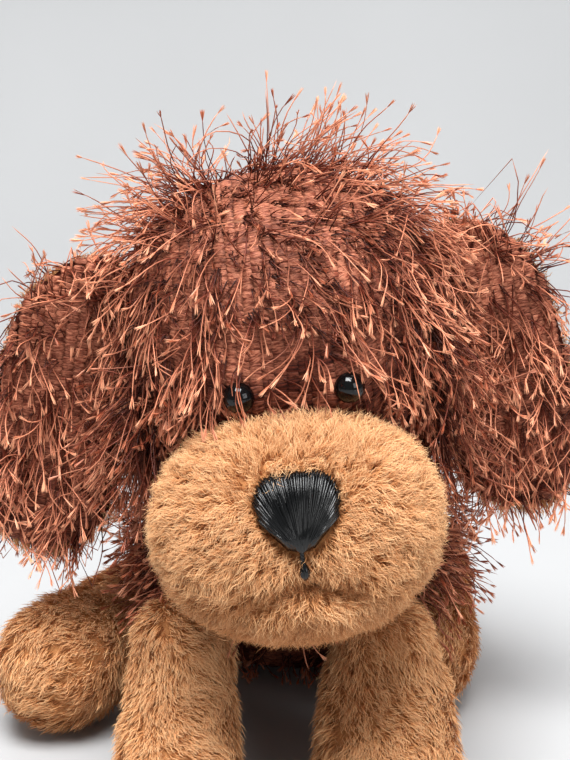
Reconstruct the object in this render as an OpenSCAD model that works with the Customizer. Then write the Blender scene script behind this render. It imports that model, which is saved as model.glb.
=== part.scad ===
// Sitting plush dog with a knitted head, ears and torso, and a plush muzzle, legs and tail.
// The dog faces -Y, its left side is +X, and it sits on the plane Z = 0. Sizes are in millimetres.
// Each cover is drawn at the middle of its pile, with the long yarn of the head and the ears in locks.

/* [Fabric and fits] */
// thickness of a cover, backing and pile together
cover_t = 3; // [2:0.5:5]
// clearance between pieces that move against each other
move_gap = 0.3; // [0.3:0.05:0.8]
// clearance around the hard pieces that the covers and the stuffing hold
fit_gap = 0.15; // [0.1:0.05:0.4]
// opening in a limb's cover where the limb is sewn to the torso
root_hole_d = 12; // [8:1:16]

/* [Torso] */
// width across the rump
torso_w = 92; // [84:1:100]
// depth of the rump, front to back
torso_d = 66; // [60:1:72]
// height of the neck rim over the seat
torso_h = 82; // [76:1:90]
// reach of the neck ahead of the seat's middle
lean = 44; // [40:1:48]
// firm ball in the neck that carries the head
neck_ball_d = 52; // [46:1:56]
// pellet bag across its widest part
pouch_d = 40; // [32:1:46]
// pellet bag height
pouch_h = 15; // [8:1:20]

/* [Head] */
// width over the cheeks
head_w = 100; // [90:1:112]
// depth, forehead to nape
head_d = 96; // [86:1:106]
// height, throat to crown
head_h = 108; // [96:1:120]
// roundness, 1 for an ellipsoid and less for fuller corners
head_full = 0.92; // [0.8:0.02:1]
// height of the head's middle over the neck ball's middle
head_up = 58; // [56:1:64]
// reach of the head's middle ahead of the neck ball's middle
head_ahead = 18; // [12:1:22]
// lean of the head onto its right side, in degrees
head_roll = 5; // [0:0.5:8]
// turn of the face towards its left side, in degrees
head_yaw = 2.5; // [0:0.5:6]

/* [Muzzle] */
// width
muzzle_w = 84; // [74:1:92]
// depth
muzzle_d = 66; // [58:1:74]
// height
muzzle_h = 66; // [58:1:70]
// roundness, 1 for an ellipsoid and less for fuller corners
muzzle_full = 0.94; // [0.8:0.02:1]
// reach of its middle ahead of the head's middle
muzzle_ahead = 46; // [40:1:50]
// drop of its middle below the head's middle
muzzle_drop = 47; // [43:1:51]
// set of its middle off the head's middle plane, towards the dog's right
muzzle_side = 2.5; // [0:0.5:4]

/* [Nose and mouth] */
// nose width
nose_w = 23.5; // [18:0.5:28]
// nose height along its own face
nose_h = 22; // [16:0.5:26]
// nose rise over the muzzle at its middle
nose_t = 2.5; // [1.5:0.25:4]
// nose middle over the muzzle's middle
nose_up = 15; // [11:0.5:18]
// lean of the nose's face back from upright, in degrees
nose_tilt = 30; // [20:1:40]
// thread of the mouth stitch
thread_d = 1.6; // [1:0.1:2.4]
// length of the mouth stitch
stitch_l = 7; // [4:0.5:10]

/* [Eyes] */
// eye across
eye_d = 9; // [6:0.5:12]
// distance between the two eye middles
eye_pitch = 31; // [24:0.5:40]
// drop of the eyes below the head's middle
eye_drop = 9; // [4:0.5:14]
// turn of each eye outward, in degrees
eye_turn = 17; // [8:1:26]
// depth to which an eye sits in the pile
eye_sink = 0.6; // [0:0.1:1.2]
// shank behind the eye
shank_d = 3; // [2:0.25:4]
// shank beyond its washer
shank_tail = 2; // [1:0.5:4]
// lock washer across
washer_d = 11; // [8:0.5:14]
// lock washer thickness
washer_t = 1.4; // [1:0.1:2.5]

/* [Ears] */
// width of the ear's rounded root
ear_root_d = 38; // [32:1:42]
// width at the ear's rounded tip
ear_tip_d = 46; // [38:1:52]
// distance from the root's middle to the tip's middle
ear_l = 67; // [55:1:72]
// thickness of the knitted layer
ear_outer_t = 4.5; // [3:0.25:6]
// thickness of the plush layer
ear_lining_t = 4; // [3:0.25:6]
// root's middle out from the head's middle plane
ear_out = 64; // [62:0.5:67]
// root's middle over the head's middle
ear_up = 19; // [15:1:24]
// seam between the two layers behind the head's middle
ear_back = 4; // [-4:1:10]
// fall of the root's upper edge from the head outward
ear_slope = 20; // [0:1:24]
// outward lean of the hanging left ear, in degrees
left_ear_splay = 8; // [6:0.5:16]
// outward lean of the hanging right ear, in degrees
right_ear_splay = 14; // [6:0.5:16]

/* [Locks of long yarn] */
// length of a lock
lock_l = 20; // [14:1:22]
// width of a lock at its root
lock_w = 11; // [8:0.5:12]
// thickness of a lock at its root
lock_t = 5; // [4:0.5:6]
// distance between neighbouring locks
lock_pitch = 14; // [12:1:20]
// lowest locks on the head, as degrees over its middle
lock_low = -16; // [-18:1:0]
// hair's parting off the head's middle plane, towards the dog's right
parting = 11; // [0:1:20]

/* [Front legs] */
// left leg's width at the paw
left_front_leg_w = 50; // [40:1:52]
// right leg's width at the paw
right_front_leg_w = 42; // [36:1:44]
// paw length, toe to heel
paw_l = 50; // [44:1:54]
// shoulder ball
shoulder_d = 36; // [34:1:38]
// shoulder out from the middle plane
shoulder_out = 32; // [30:0.5:34]
// how far the chest's turn sets both shoulders toward the dog's right
shoulder_shift = 4.5; // [0:0.5:6]
// shoulder ahead of the seat's middle
shoulder_ahead = 79; // [77:0.5:84]
// shoulder over the floor
shoulder_h = 40; // [38:1:42]
// paw's middle ahead of the shoulder
paw_ahead = 34; // [28:1:38]

/* [Hind legs] */
// hip ball
hip_d = 40; // [36:1:42]
// hip out from the middle plane
hip_out = 48; // [46:0.5:52]
// hip ahead of the seat's middle
hip_ahead = 4; // [0:0.5:6]
// how far the rump's turn sets the right hip ahead of its even place, and the left hip behind it
hip_skew = 12; // [8:0.5:14]
// hip over the floor
hip_h = 26; // [24:0.5:28]
// foot across
foot_d = 47; // [42:1:48]
// foot's middle over the floor
foot_h = 22.5; // [20:0.5:23.5]
// distance from the hip to the foot's middle
thigh_l = 51; // [46:1:53]
// turn of the left leg ahead from straight out, in degrees
left_leg_turn = 98; // [94:1:100]
// turn of the right leg ahead from straight out, in degrees
right_leg_turn = 53; // [46:1:60]

/* [Tail] */
// ball at the tail's root
tail_root_d = 20; // [16:1:24]
// length from the ball's middle to the tip
tail_l = 46; // [30:1:60]
// rise of the tail over level, in degrees
tail_rise = 32; // [15:1:45]
// tail ball over the seat
tail_h = 34; // [28:1:40]
// depth to which the tail ball sits in the torso's back
tail_sink = 1; // [0:0.5:4]

/* [Hidden] */
$fn = 48;
// facets around and along the covers, and around and along the stuffing
round_n = 24;
long_n = 14;
core_n = 16;
core_long_n = 10;
// facets around a limb's cover, around its stuffing, and along each half of a limb's ball
limb_n = 18;
limb_core_n = 12;
ball_n = 3;
// facets around the ball and tip of an ear
ear_n = 10;
// facets around a lock
lock_n = 4;

// middle of the neck ball, on which the head turns and nods
neck = [0, -lean, torso_h];
neck_r = neck_ball_d / 2;
rim_r = neck_r + move_gap + cover_t;
head_mid = neck + [0, -head_ahead, head_up];
head_size = [head_w, head_d, head_h];
muzzle_mid = head_mid + [-muzzle_side, -muzzle_ahead, -muzzle_drop];
muzzle_size = [muzzle_w, muzzle_d, muzzle_h];
ear_hinge = head_mid + [ear_out, ear_back, ear_up];
eye_at = [eye_pitch / 2, -front_at(head_size, head_full, eye_pitch / 2, eye_drop), -eye_drop];
tail_dir = [0, cos(tail_rise), sin(tail_rise)];
tail_up = [0, -sin(tail_rise), cos(tail_rise)];
tail_root = [0, torso_d / 2 - tail_sink, tail_h];

// torso from the seat up to the neck rim: share of the height, share of the way to the neck,
// and shares of the rump's width and depth
torso_stack = [
    [0.00, 0.00, 0.74, 0.70],
    [0.03, 0.00, 0.85, 0.84],
    [0.09, 0.00, 0.95, 0.95],
    [0.22, 0.00, 1.00, 1.02],
    [0.38, 0.15, 1.00, 1.18],
    [0.50, 0.45, 0.99, 1.42],
    [0.60, 0.73, 0.97, 1.56],
    [0.72, 0.88, 0.90, 1.34],
    [0.84, 0.97, 0.79, 1.06],
    [0.93, 1.00, 0.69, 0.92]
];

// front leg from the sole up to the shoulder: share of the shoulder's height,
// share of the way to the paw, share of the leg's width, and share of the paw's length
front_leg_stack = [
    [0.00, 1.00, 0.82, 0.84],
    [0.08, 1.00, 0.97, 0.98],
    [0.24, 0.88, 1.00, 0.96],
    [0.48, 0.56, 0.96, 0.82],
    [0.74, 0.24, 0.92, 0.74]
];

// hind leg from the hip to the toes: share of the thigh's length, and share of the foot's size
hind_leg_stack = [
    [0.30, 0.86],
    [0.68, 0.91],
    [1.00, 1.00],
    [1.20, 0.92],
    [1.36, 0.65],
    [1.45, 0.38]
];
// length share of the toes' tip
toe_end = 1.48;

// tail from its ball to its tip: share of the length, and share of the ball's size
tail_stack = [
    [0.20, 0.88],
    [0.42, 0.96],
    [0.66, 0.92],
    [0.85, 0.70],
    [0.96, 0.38]
];

// roundness of an ear layer: share of its thickness, and share of the root's radius taken off its outline
pillow_stack = [
    [0.00, 0.00],
    [0.45, 0.04],
    [0.80, 0.18],
    [0.97, 0.45]
];

// lock from its root on: shares of its length out of the fabric and along it,
// and shares of its width and thickness
lock_stack = [
    [0.00, 0.00, 0.90, 1.00],
    [0.28, 0.14, 1.00, 0.90],
    [0.48, 0.46, 0.72, 0.60]
];
// shares of a lock's length at which its tip lies out of the fabric and along it
lock_tip = [0.54, 0.88];
// columns of locks on an ear: shares of the tip's radius, from the head's side outward
ear_lock_columns = [-0.36, 0.14, 0.64];

// half of the nose's outline from its lower point to its upper edge: shares of its width and height
nose_half = [
    [0.00, -0.50],
    [0.18, -0.44],
    [0.36, -0.22],
    [0.48, 0.08],
    [0.49, 0.30],
    [0.38, 0.46],
    [0.20, 0.50],
    [0.08, 0.45]
];
// dome of the nose: height from its root in the muzzle as a share of its rise, and share of its outline
nose_dome = [
    [-1.80, 1.00],
    [-0.30, 1.00],
    [0.25, 0.86],
    [0.75, 0.58],
    [0.96, 0.28]
];
// pellet bag: share of its height, and share of its width
pouch_stack = [
    [0.00, 0.80],
    [0.30, 1.00],
    [0.65, 0.88],
    [0.92, 0.50]
];

knit_colour = [0.25, 0.09, 0.06];
plush_colour = [0.58, 0.34, 0.16];
black_colour = [0.03, 0.03, 0.035];
fill_colour = [0.93, 0.92, 0.88];
plastic_colour = [0.85, 0.85, 0.83];
pouch_colour = [0.80, 0.76, 0.70];

// power that keeps the sign of a
function signed_pow(a, e) = sign(a) * pow(abs(a), e);

// n points of an ellipse about c, spanned by the half axes u and v, with none below the height low
function ring(c, u, v, n, low = 0) = [
    for (i = [0 : n - 1])
        let (p = c + cos(360 * i / n) * u + sin(360 * i / n) * v)
            [p.x, p.y, max(p.z, low)]
];

// half height and radius of a ball's rings from one pole to just before its equator, as shares of its radius
function ball_rings() = [for (k = [1 : ball_n]) [-cos(90 * k / (ball_n + 1)), sin(90 * k / (ball_n + 1))]];

// middles of a shoulder ball and of a hip ball, drawn on the left side, and the turn of a hind leg
function shoulder(left) =
    [shoulder_out + (left ? -shoulder_shift : shoulder_shift), -shoulder_ahead, shoulder_h];
function hip(left) = [hip_out, (left ? hip_skew : -hip_skew) - hip_ahead, hip_h];
function leg_turn(left) = left ? left_leg_turn : right_leg_turn;

// outward lean of an ear, and width of a front leg
function ear_splay(left) = left ? left_ear_splay : right_ear_splay;
function front_leg_w(left) = left ? left_front_leg_w : right_front_leg_w;

// distance from the middle of a rounded form to its front, at the offset x sideways and z upward
function front_at(size, full, x, z) =
    let (share = 1 - pow(abs(2 * x / size.x), 2 / full) - pow(abs(2 * z / size.z), 2 / full))
        size.y / 2 * pow(share, full / 2);

// direction of v
function unit(v) = v / norm(v);

// point of a rounded form about its own middle, at a latitude and at an angle around its upright axis
function rounded_point(half, full, lat, a) =
    let (r = signed_pow(cos(lat), full))
        [
            half.x * r * signed_pow(cos(a), full),
            half.y * r * signed_pow(sin(a), full),
            half.z * signed_pow(sin(lat), full)
        ];

// way out of the head at p on its surface, and the way along it in which a lock is combed from the parting
function head_out(p) = unit([for (i = [0 : 2]) p[i] / pow(head_size[i], 2)]);
function head_comb(p) =
    let (out = head_out(p), away = [p.x + parting, 0, -head_h / 4])
        unit(away - out * (away * out));

// point of a lock rooted at p, at shares of its length out of the fabric and along it
function on_lock(p, out, comb, share) = p + lock_l * (out * share[0] + comb * share[1]);

// room for a lock at p: out of the way of the ears, the muzzle and the eyes
function lock_fits(p) =
    let (
        tip = on_lock(p, head_out(p), head_comb(p), lock_tip),
        reach = lock_l * lock_tip[0] + lock_w / 2,
        beside = abs(p.x) > ear_out - ear_root_d / 2 - lock_w,
        ahead = p.y < ear_back - ear_outer_t - reach,
        behind = p.y > ear_back + ear_lining_t + lock_w,
        seat = muzzle_mid - head_mid,
        shares = [
            for (q = [p, tip])
                norm([for (i = [0 : 2]) (q[i] - seat[i]) / (muzzle_size[i] / 2 + lock_t)])
        ],
        eye_gaps = [for (q = [p, tip]) norm([abs(q.x), q.y, q.z] - eye_at)]
    )
        (!beside || ahead || behind) && min(shares) > 1 && min(eye_gaps) > eye_d / 2 + lock_w;

// roots of the head's locks about its middle, in rows from the cheeks to the crown, each row half a step on
function lock_roots() =
    let (
        climb = (90 - lock_low) / 360 * PI * head_h,
        rows = floor(climb / lock_pitch)
    )
        [
            for (k = [0 : rows - 1])
                let (
                    lat = lock_low + (90 - lock_low) * (k + 0.5) / rows,
                    count = ceil(PI * head_w * cos(lat) / lock_pitch)
                )
                    for (i = [0 : count - 1])
                        let (p = rounded_point(head_size / 2, head_full, lat, 360 * (i + k / 2) / count))
                            if (lock_fits(p)) p
        ];

// closed skin over a stack of rings, with a fan of facets to a tip at either end
module skin(rings, first_tip, last_tip) {
    n = len(rings[0]);
    top = (len(rings) - 1) * n;
    tip_a = len(rings) * n;
    tip_b = tip_a + 1;
    points = concat([for (r = rings) each r], [first_tip, last_tip]);
    walls = [
        for (k = [0 : len(rings) - 2])
            for (i = [0 : n - 1])
                let (a = k * n + i, b = k * n + (i + 1) % n)
                    each [[a, a + n, b + n], [a, b + n, b]]
    ];
    first_fan = [for (i = [0 : n - 1]) [tip_a, i, (i + 1) % n]];
    last_fan = [for (i = [0 : n - 1]) [tip_b, top + (i + 1) % n, top + i]];
    polyhedron(points = points, faces = concat(walls, first_fan, last_fan));
}

// rounded form about its own middle, grown all round by g
module rounded(size, full, g, n, m) {
    half = size / 2 + [g, g, g];
    rings = [
        for (k = [1 : m - 1])
            [for (i = [0 : n - 1]) rounded_point(half, full, 180 * k / m - 90, 360 * i / n)]
    ];
    skin(rings, [0, 0, -half.z], [0, 0, half.z]);
}

// mirrored copy for the dog's right side, or the drawn left side
module on_side(left) {
    mirror([left ? 0 : 1, 0, 0])
        children();
}

// lock of yarn rooted in the fabric at p, where out leaves the fabric and comb lies along it
module lock(p, out, comb) {
    side = cross(out, comb);
    rings = [
        for (s = lock_stack)
            let (over = comb * (1 - s[1]) - out * s[1])
                ring(
                    on_lock(p, out, comb, s),
                    over * lock_t / 2 * s[3],
                    side * lock_w / 2 * s[2],
                    lock_n,
                    p.z - lock_l
                )
    ];
    skin(rings, p - out * cover_t / 2, on_lock(p, out, comb, lock_tip));
}

// lean and turn of the whole head about the neck ball
module head_pose() {
    translate(neck)
        rotate([0, -head_roll, head_yaw])
            translate(-neck)
                children();
}

module torso_form(g, n) {
    stack = [
        for (s = torso_stack)
            ring(
                [0, -lean * s[1], max(torso_h * s[0], -g)],
                [torso_w / 2 * s[2] + g, 0, 0],
                [0, torso_d / 2 * s[3] + g, 0],
                n
            )
    ];
    rim = [ring(neck, [rim_r + g, 0, 0], [0, rim_r + g, 0], n)];
    rings = g < 0 ? stack : concat(stack, rim);
    top = g < 0 ? torso_stack[len(torso_stack) - 1] : [1, 1];
    skin(rings, [0, 0, -g], [0, -lean * top[1], torso_h * top[0]]);
}

module head_form(g, n, m) {
    translate(head_mid)
        rounded(head_size, head_full, g, n, m);
}

// outside of the head's cover with its locks
module shaggy_head() {
    head_form(0, round_n, long_n);
    for (p = lock_roots())
        lock(head_mid + p, head_out(p), head_comb(p));
}

module muzzle_form(g, n, m) {
    translate(muzzle_mid)
        rounded(muzzle_size, muzzle_full, g, n, m);
}

module front_leg_form(g, n, left) {
    r = shoulder_d / 2 + g;
    root = shoulder(left);
    column = [
        for (s = front_leg_stack)
            ring(
                root + [0, -paw_ahead * s[1], max(shoulder_h * s[0], -g) - shoulder_h],
                [front_leg_w(left) / 2 * s[2] + g, 0, 0],
                [0, paw_l / 2 * s[3] + g, 0],
                n
            )
    ];
    middle = [ring(root, [r, 0, 0], [0, r, 0], n)];
    ball = [
        for (k = [ball_n - 1 : -1 : 0])
            let (s = ball_rings()[k])
                ring(root - [0, 0, r * s[0]], [r * s[1], 0, 0], [0, r * s[1], 0], n)
    ];
    sole = root + [0, -paw_ahead, -g - shoulder_h];
    skin(concat(column, middle, ball), sole, root + [0, 0, r]);
}

module hind_leg_form(g, n, left) {
    r = hip_d / 2 + g;
    turn = leg_turn(left);
    root = hip(left);
    ahead = [cos(turn), -sin(turn), 0];
    side = [sin(turn), cos(turn), 0];
    drop = [0, 0, foot_h - hip_h];
    up = [0, 0, 1];
    ball = [
        for (s = ball_rings())
            ring(root + ahead * r * s[0], side * r * s[1], up * r * s[1], n, -g)
    ];
    middle = [ring(root, side * r, up * r, n, -g)];
    leg = [
        for (s = hind_leg_stack)
            let (
                half = foot_d / 2 * s[1] + g,
                c = root + ahead * thigh_l * s[0] + drop * min(s[0], 1)
            )
                ring(c, side * half, up * half, n, -g)
    ];
    toes = root + ahead * (thigh_l * toe_end + g) + drop;
    skin(concat(ball, middle, leg), root - ahead * r, toes);
}

module tail_form(g, n) {
    r = tail_root_d / 2 + g;
    side = [-1, 0, 0];
    ball = [
        for (s = ball_rings())
            ring(tail_root + tail_dir * r * s[0], side * r * s[1], tail_up * r * s[1], n)
    ];
    middle = [ring(tail_root, side * r, tail_up * r, n)];
    rest = [
        for (s = tail_stack)
            let (half = tail_root_d / 2 * s[1] + g)
                ring(tail_root + tail_dir * tail_l * s[0], side * half, tail_up * half, n)
    ];
    skin(concat(ball, middle, rest), tail_root - tail_dir * r, tail_root + tail_dir * (tail_l + g));
}

// fall of the root's upper edge at the distance x out from an ear's hinge
function ear_fall(x) = ear_slope * (x / ear_root_d + 1 / 2);

// outline of an ear about its hinge, drawn in by the amount inset
function ear_outline(inset) =
    let (
        root_r = ear_root_d / 2 - inset,
        tip_r = ear_tip_d / 2 - inset,
        mid_r = (root_r + tip_r) / 2
    )
        concat(
            [
                for (i = [0 : ear_n])
                    let (a = 180 * i / ear_n, x = root_r * cos(a))
                        [x, root_r * sin(a) - ear_fall(x)]
            ],
            [[-mid_r, -ear_l / 2]],
            [for (i = [0 : ear_n]) let (a = 180 * i / ear_n) [-tip_r * cos(a), -tip_r * sin(a) - ear_l]],
            [[mid_r, -ear_l / 2]]
        );

// one layer of an ear about its hinge, flat at the seam and swelling by t towards -Y
module ear_layer(t) {
    rings = [
        for (s = pillow_stack)
            [for (p = ear_outline(s[1] * ear_root_d / 2)) [p.x, -t * s[0], p.y]]
    ];
    middle = -ear_l / 2;
    skin(rings, [0, 0, middle], [0, -t, middle]);
}

// locks on the front of an ear about its hinge, fanned out from its middle
module ear_locks() {
    reach = ear_l + ear_tip_d / 2 - lock_w;
    rows = ceil(reach / lock_pitch);
    for (k = [0 : rows], c = ear_lock_columns) {
        x = c * ear_tip_d / 2;
        z = -reach * k / rows - ear_fall(x) * (1 - k / rows);
        lock([x, -ear_outer_t / 2, z], [0, -1, 0], unit([c, 0, -1]));
    }
}

// round root of an ear, grown by g, which turns in the notch at the side of the head
module ear_root(g) {
    translate(ear_hinge - [0, ear_outer_t + g, 0])
        rotate([-90, 0, 0])
            cylinder(d = ear_root_d + 2 * g, h = ear_outer_t + ear_lining_t + 2 * g);
}

// space below the ear's root that the cheek takes up to its widest
module cheek_side() {
    drop = ear_root_d + ear_l;
    translate([0, ear_hinge.y - head_d / 2, ear_hinge.z - drop])
        cube([head_w / 2 + move_gap, head_d, drop]);
}

// ear layer in place on the left side, clear of the cheek below its root
module placed_ear(t, front, left) {
    difference() {
        translate(ear_hinge)
            rotate([0, -ear_splay(left), 0]) {
                mirror([0, front ? 0 : 1, 0])
                    ear_layer(t);
                if (front)
                    ear_locks();
            }
        difference() {
            cheek_side();
            ear_root(move_gap);
        }
    }
}

// frame of the left eye: its origin on the head's surface and its Z axis pointing out of the eye
module at_eye() {
    translate(head_mid + eye_at)
        rotate([90, 0, eye_turn])
            children();
}

// room for an eye's seat, shank and washer in the cover and the stuffing
module eye_room() {
    depth = cover_t + washer_t + fit_gap;
    at_eye() {
        translate([0, 0, -eye_sink])
            cylinder(d = eye_d + 2 * fit_gap, h = eye_d);
        translate([0, 0, -depth - shank_tail])
            cylinder(d = shank_d + 2 * fit_gap, h = depth + shank_tail);
        translate([0, 0, -depth])
            cylinder(d = washer_d + 2 * fit_gap, h = washer_t + fit_gap);
    }
}

// rooms and notches that both sides of the head have
module head_rooms() {
    neck_room();
    for (left = [true, false])
        on_side(left) {
            ear_root(2 * move_gap);
            eye_room();
        }
}

// hollows in the torso, grown by g, in which the legs and the tail sit
module limb_rooms(g) {
    translate(tail_root)
        sphere(d = tail_root_d + 2 * g);
    for (left = [true, false])
        on_side(left) {
            translate(shoulder(left))
                sphere(d = shoulder_d + 2 * g);
            translate(hip(left))
                sphere(d = hip_d + 2 * (g + move_gap));
            hind_leg_form(g, limb_n, left);
        }
}

// hollow in which the neck ball turns
module neck_room() {
    translate(neck)
        sphere(d = neck_ball_d + 2 * move_gap);
}

// inside of the torso's cover, which also lines the hollows for the limbs
module torso_core() {
    difference() {
        torso_form(-cover_t, core_n);
        limb_rooms(move_gap + cover_t);
        neck_room();
    }
}

module pouch_form(g) {
    half = pouch_d / 2;
    rings = [
        for (s = pouch_stack)
            ring(
                [0, 0, cover_t + (pouch_h + g) * s[0]],
                [half * s[1] + g, 0, 0],
                [0, half * s[1] + g, 0],
                core_n
            )
    ];
    skin(rings, [0, 0, cover_t], [0, 0, cover_t + pouch_h + g]);
}

module torso_cover() {
    color(knit_colour)
        difference() {
            torso_form(0, round_n);
            torso_core();
            limb_rooms(move_gap);
            neck_room();
        }
}

module torso_stuffing() {
    color(fill_colour)
        difference() {
            torso_core();
            pouch_form(fit_gap);
        }
}

module pellet_pouch() {
    color(pouch_colour)
        pouch_form(0);
}

module neck_wad() {
    color(fill_colour)
        translate(neck)
            sphere(d = neck_ball_d);
}

module head_cover() {
    color(knit_colour)
        head_pose()
            difference() {
                shaggy_head();
                head_form(-cover_t, core_n, core_long_n);
                head_rooms();
            }
}

module head_stuffing() {
    color(fill_colour)
        head_pose()
            difference() {
                head_form(-cover_t, core_n, core_long_n);
                head_rooms();
            }
}

module muzzle_cover() {
    color(plush_colour)
        head_pose()
            difference() {
                muzzle_form(0, round_n, long_n);
                muzzle_form(-cover_t, core_n, core_long_n);
                head_form(0, round_n, long_n);
            }
}

module muzzle_stuffing() {
    color(fill_colour)
        head_pose()
            difference() {
                muzzle_form(-cover_t, core_n, core_long_n);
                head_form(0, round_n, long_n);
            }
}

module nose() {
    right_half = [for (i = [len(nose_half) - 1 : -1 : 1]) [-nose_half[i].x, nose_half[i].y]];
    outline = concat(nose_half, right_half);
    rings = [
        for (s = nose_dome)
            [for (p = outline) [nose_w * p.x * s[1], nose_h * p.y * s[1], nose_t * s[0]]]
    ];
    root = nose_t * nose_dome[0][0];
    seat = [0, -front_at(muzzle_size, muzzle_full, 0, nose_up), nose_up];
    color(black_colour)
        head_pose()
            difference() {
                translate(muzzle_mid + seat)
                    rotate([90 - nose_tilt, 0, 0])
                        skin(rings, [0, 0, root], [0, 0, nose_t]);
                muzzle_form(0, round_n, long_n);
            }
}

module mouth_stitch() {
    top = nose_up - nose_h / 2 * cos(nose_tilt) - thread_d;
    front = front_at(muzzle_size, muzzle_full, 0, top - stitch_l / 2);
    color(black_colour)
        head_pose()
            difference() {
                translate(muzzle_mid + [0, -front, top - stitch_l])
                    cylinder(d = thread_d, h = stitch_l);
                muzzle_form(0, round_n, long_n);
            }
}

module eye(left) {
    back = cover_t + washer_t + shank_tail;
    color(black_colour)
        head_pose()
            on_side(left)
                at_eye() {
                    difference() {
                        translate([0, 0, -eye_sink])
                            sphere(d = eye_d);
                        translate([0, 0, -eye_sink - eye_d])
                            cylinder(d = 2 * eye_d, h = eye_d);
                    }
                    translate([0, 0, -back])
                        cylinder(d = shank_d, h = back - eye_sink);
                }
}

module eye_washer(left) {
    color(plastic_colour)
        head_pose()
            on_side(left)
                at_eye()
                    translate([0, 0, -cover_t - washer_t])
                        difference() {
                            cylinder(d = washer_d, h = washer_t);
                            translate([0, 0, -washer_t])
                                cylinder(d = shank_d + 2 * fit_gap, h = 3 * washer_t);
                        }
}

module ear_outer(left) {
    color(knit_colour)
        head_pose()
            on_side(left)
                placed_ear(ear_outer_t, true, left);
}

module ear_lining(left) {
    color(plush_colour)
        head_pose()
            on_side(left)
                placed_ear(ear_lining_t, false, left);
}

module front_leg_cover(left) {
    color(plush_colour)
        on_side(left)
            difference() {
                front_leg_form(0, limb_n, left);
                front_leg_form(-cover_t, limb_core_n, left);
                translate(shoulder(left))
                    rotate([-90, 0, 0])
                        cylinder(d = root_hole_d, h = shoulder_d);
            }
}

module front_leg_stuffing(left) {
    color(fill_colour)
        on_side(left)
            front_leg_form(-cover_t, limb_core_n, left);
}

module hind_leg_cover(left) {
    color(plush_colour)
        on_side(left)
            difference() {
                hind_leg_form(0, limb_n, left);
                hind_leg_form(-cover_t, limb_core_n, left);
                translate(hip(left))
                    rotate([0, -90, 0])
                        cylinder(d = root_hole_d, h = hip_d);
            }
}

module hind_leg_stuffing(left) {
    color(fill_colour)
        on_side(left)
            hind_leg_form(-cover_t, limb_core_n, left);
}

module tail_cover() {
    color(plush_colour)
        difference() {
            tail_form(0, limb_core_n);
            tail_form(-cover_t, limb_core_n);
            translate(tail_root)
                rotate([90, 0, 0])
                    cylinder(d = tail_root_d / 2, h = tail_root_d);
        }
}

module tail_stuffing() {
    color(fill_colour)
        tail_form(-cover_t, limb_core_n);
}

torso_cover();
torso_stuffing();
pellet_pouch();
neck_wad();
head_cover();
head_stuffing();
muzzle_cover();
muzzle_stuffing();
nose();
mouth_stitch();
eye(true);  // left_eye
eye(false);  // right_eye
eye_washer(true);  // left_eye_washer
eye_washer(false);  // right_eye_washer
ear_outer(true);  // left_ear_outer
ear_lining(true);  // left_ear_lining
ear_outer(false);  // right_ear_outer
ear_lining(false);  // right_ear_lining
front_leg_cover(true);  // left_front_leg_cover
front_leg_stuffing(true);  // left_front_leg_stuffing
front_leg_cover(false);  // right_front_leg_cover
front_leg_stuffing(false);  // right_front_leg_stuffing
hind_leg_cover(true);  // left_hind_leg_cover
hind_leg_stuffing(true);  // left_hind_leg_stuffing
hind_leg_cover(false);  // right_hind_leg_cover
hind_leg_stuffing(false);  // right_hind_leg_stuffing
tail_cover();
tail_stuffing();
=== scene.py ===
import math

import bmesh
import bpy
import numpy as np
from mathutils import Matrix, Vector
from mathutils.bvhtree import BVHTree


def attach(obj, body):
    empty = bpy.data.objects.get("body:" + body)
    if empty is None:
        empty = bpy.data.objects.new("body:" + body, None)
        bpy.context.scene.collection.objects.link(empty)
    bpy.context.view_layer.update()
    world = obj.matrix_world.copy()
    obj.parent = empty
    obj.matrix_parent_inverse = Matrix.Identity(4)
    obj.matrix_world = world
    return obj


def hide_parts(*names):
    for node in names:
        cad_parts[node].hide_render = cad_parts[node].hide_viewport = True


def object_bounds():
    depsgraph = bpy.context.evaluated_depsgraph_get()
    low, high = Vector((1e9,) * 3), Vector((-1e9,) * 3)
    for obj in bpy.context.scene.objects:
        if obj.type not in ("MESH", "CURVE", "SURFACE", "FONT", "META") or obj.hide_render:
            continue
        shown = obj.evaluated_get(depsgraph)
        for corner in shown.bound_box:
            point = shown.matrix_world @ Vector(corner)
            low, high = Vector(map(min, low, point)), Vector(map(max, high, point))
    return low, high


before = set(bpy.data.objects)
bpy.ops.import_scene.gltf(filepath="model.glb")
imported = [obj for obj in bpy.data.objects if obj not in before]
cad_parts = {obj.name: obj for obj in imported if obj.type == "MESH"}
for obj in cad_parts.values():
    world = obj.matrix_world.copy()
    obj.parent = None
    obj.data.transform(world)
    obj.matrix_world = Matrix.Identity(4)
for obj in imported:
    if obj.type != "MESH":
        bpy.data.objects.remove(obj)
cad_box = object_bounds()
scene = bpy.context.scene
scene.view_settings.view_transform = "Standard"

# Lengths are in millimetres up to the point where a mesh is made.
MM = 0.001
rng = np.random.default_rng(11)
UP = np.array([0.0, 0.0, 1.0])
DOWN = -UP

# Places repeated from the CAD.
NECK = np.array([0.0, -44.0, 82.0])
HEAD_MID = np.array([0.0, -62.0, 140.0])
MUZZLE_MID = np.array([-2.5, -108.0, 93.0])
ROLL, YAW = math.radians(5.0), math.radians(2.5)
EYE_PITCH, EYE_DROP = 31.0, 9.0
NOSE_W, NOSE_H = 23.5, 22.0
COVER_T = 3.0
EAR_OUTER_T, EAR_LINING_T = 4.5, 4.0
EAR_SEAM = HEAD_MID[1] + 4.0
EAR_SPLAY = {"left": math.radians(8.0), "right": math.radians(14.0)}
PARTING = 11.0

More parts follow.
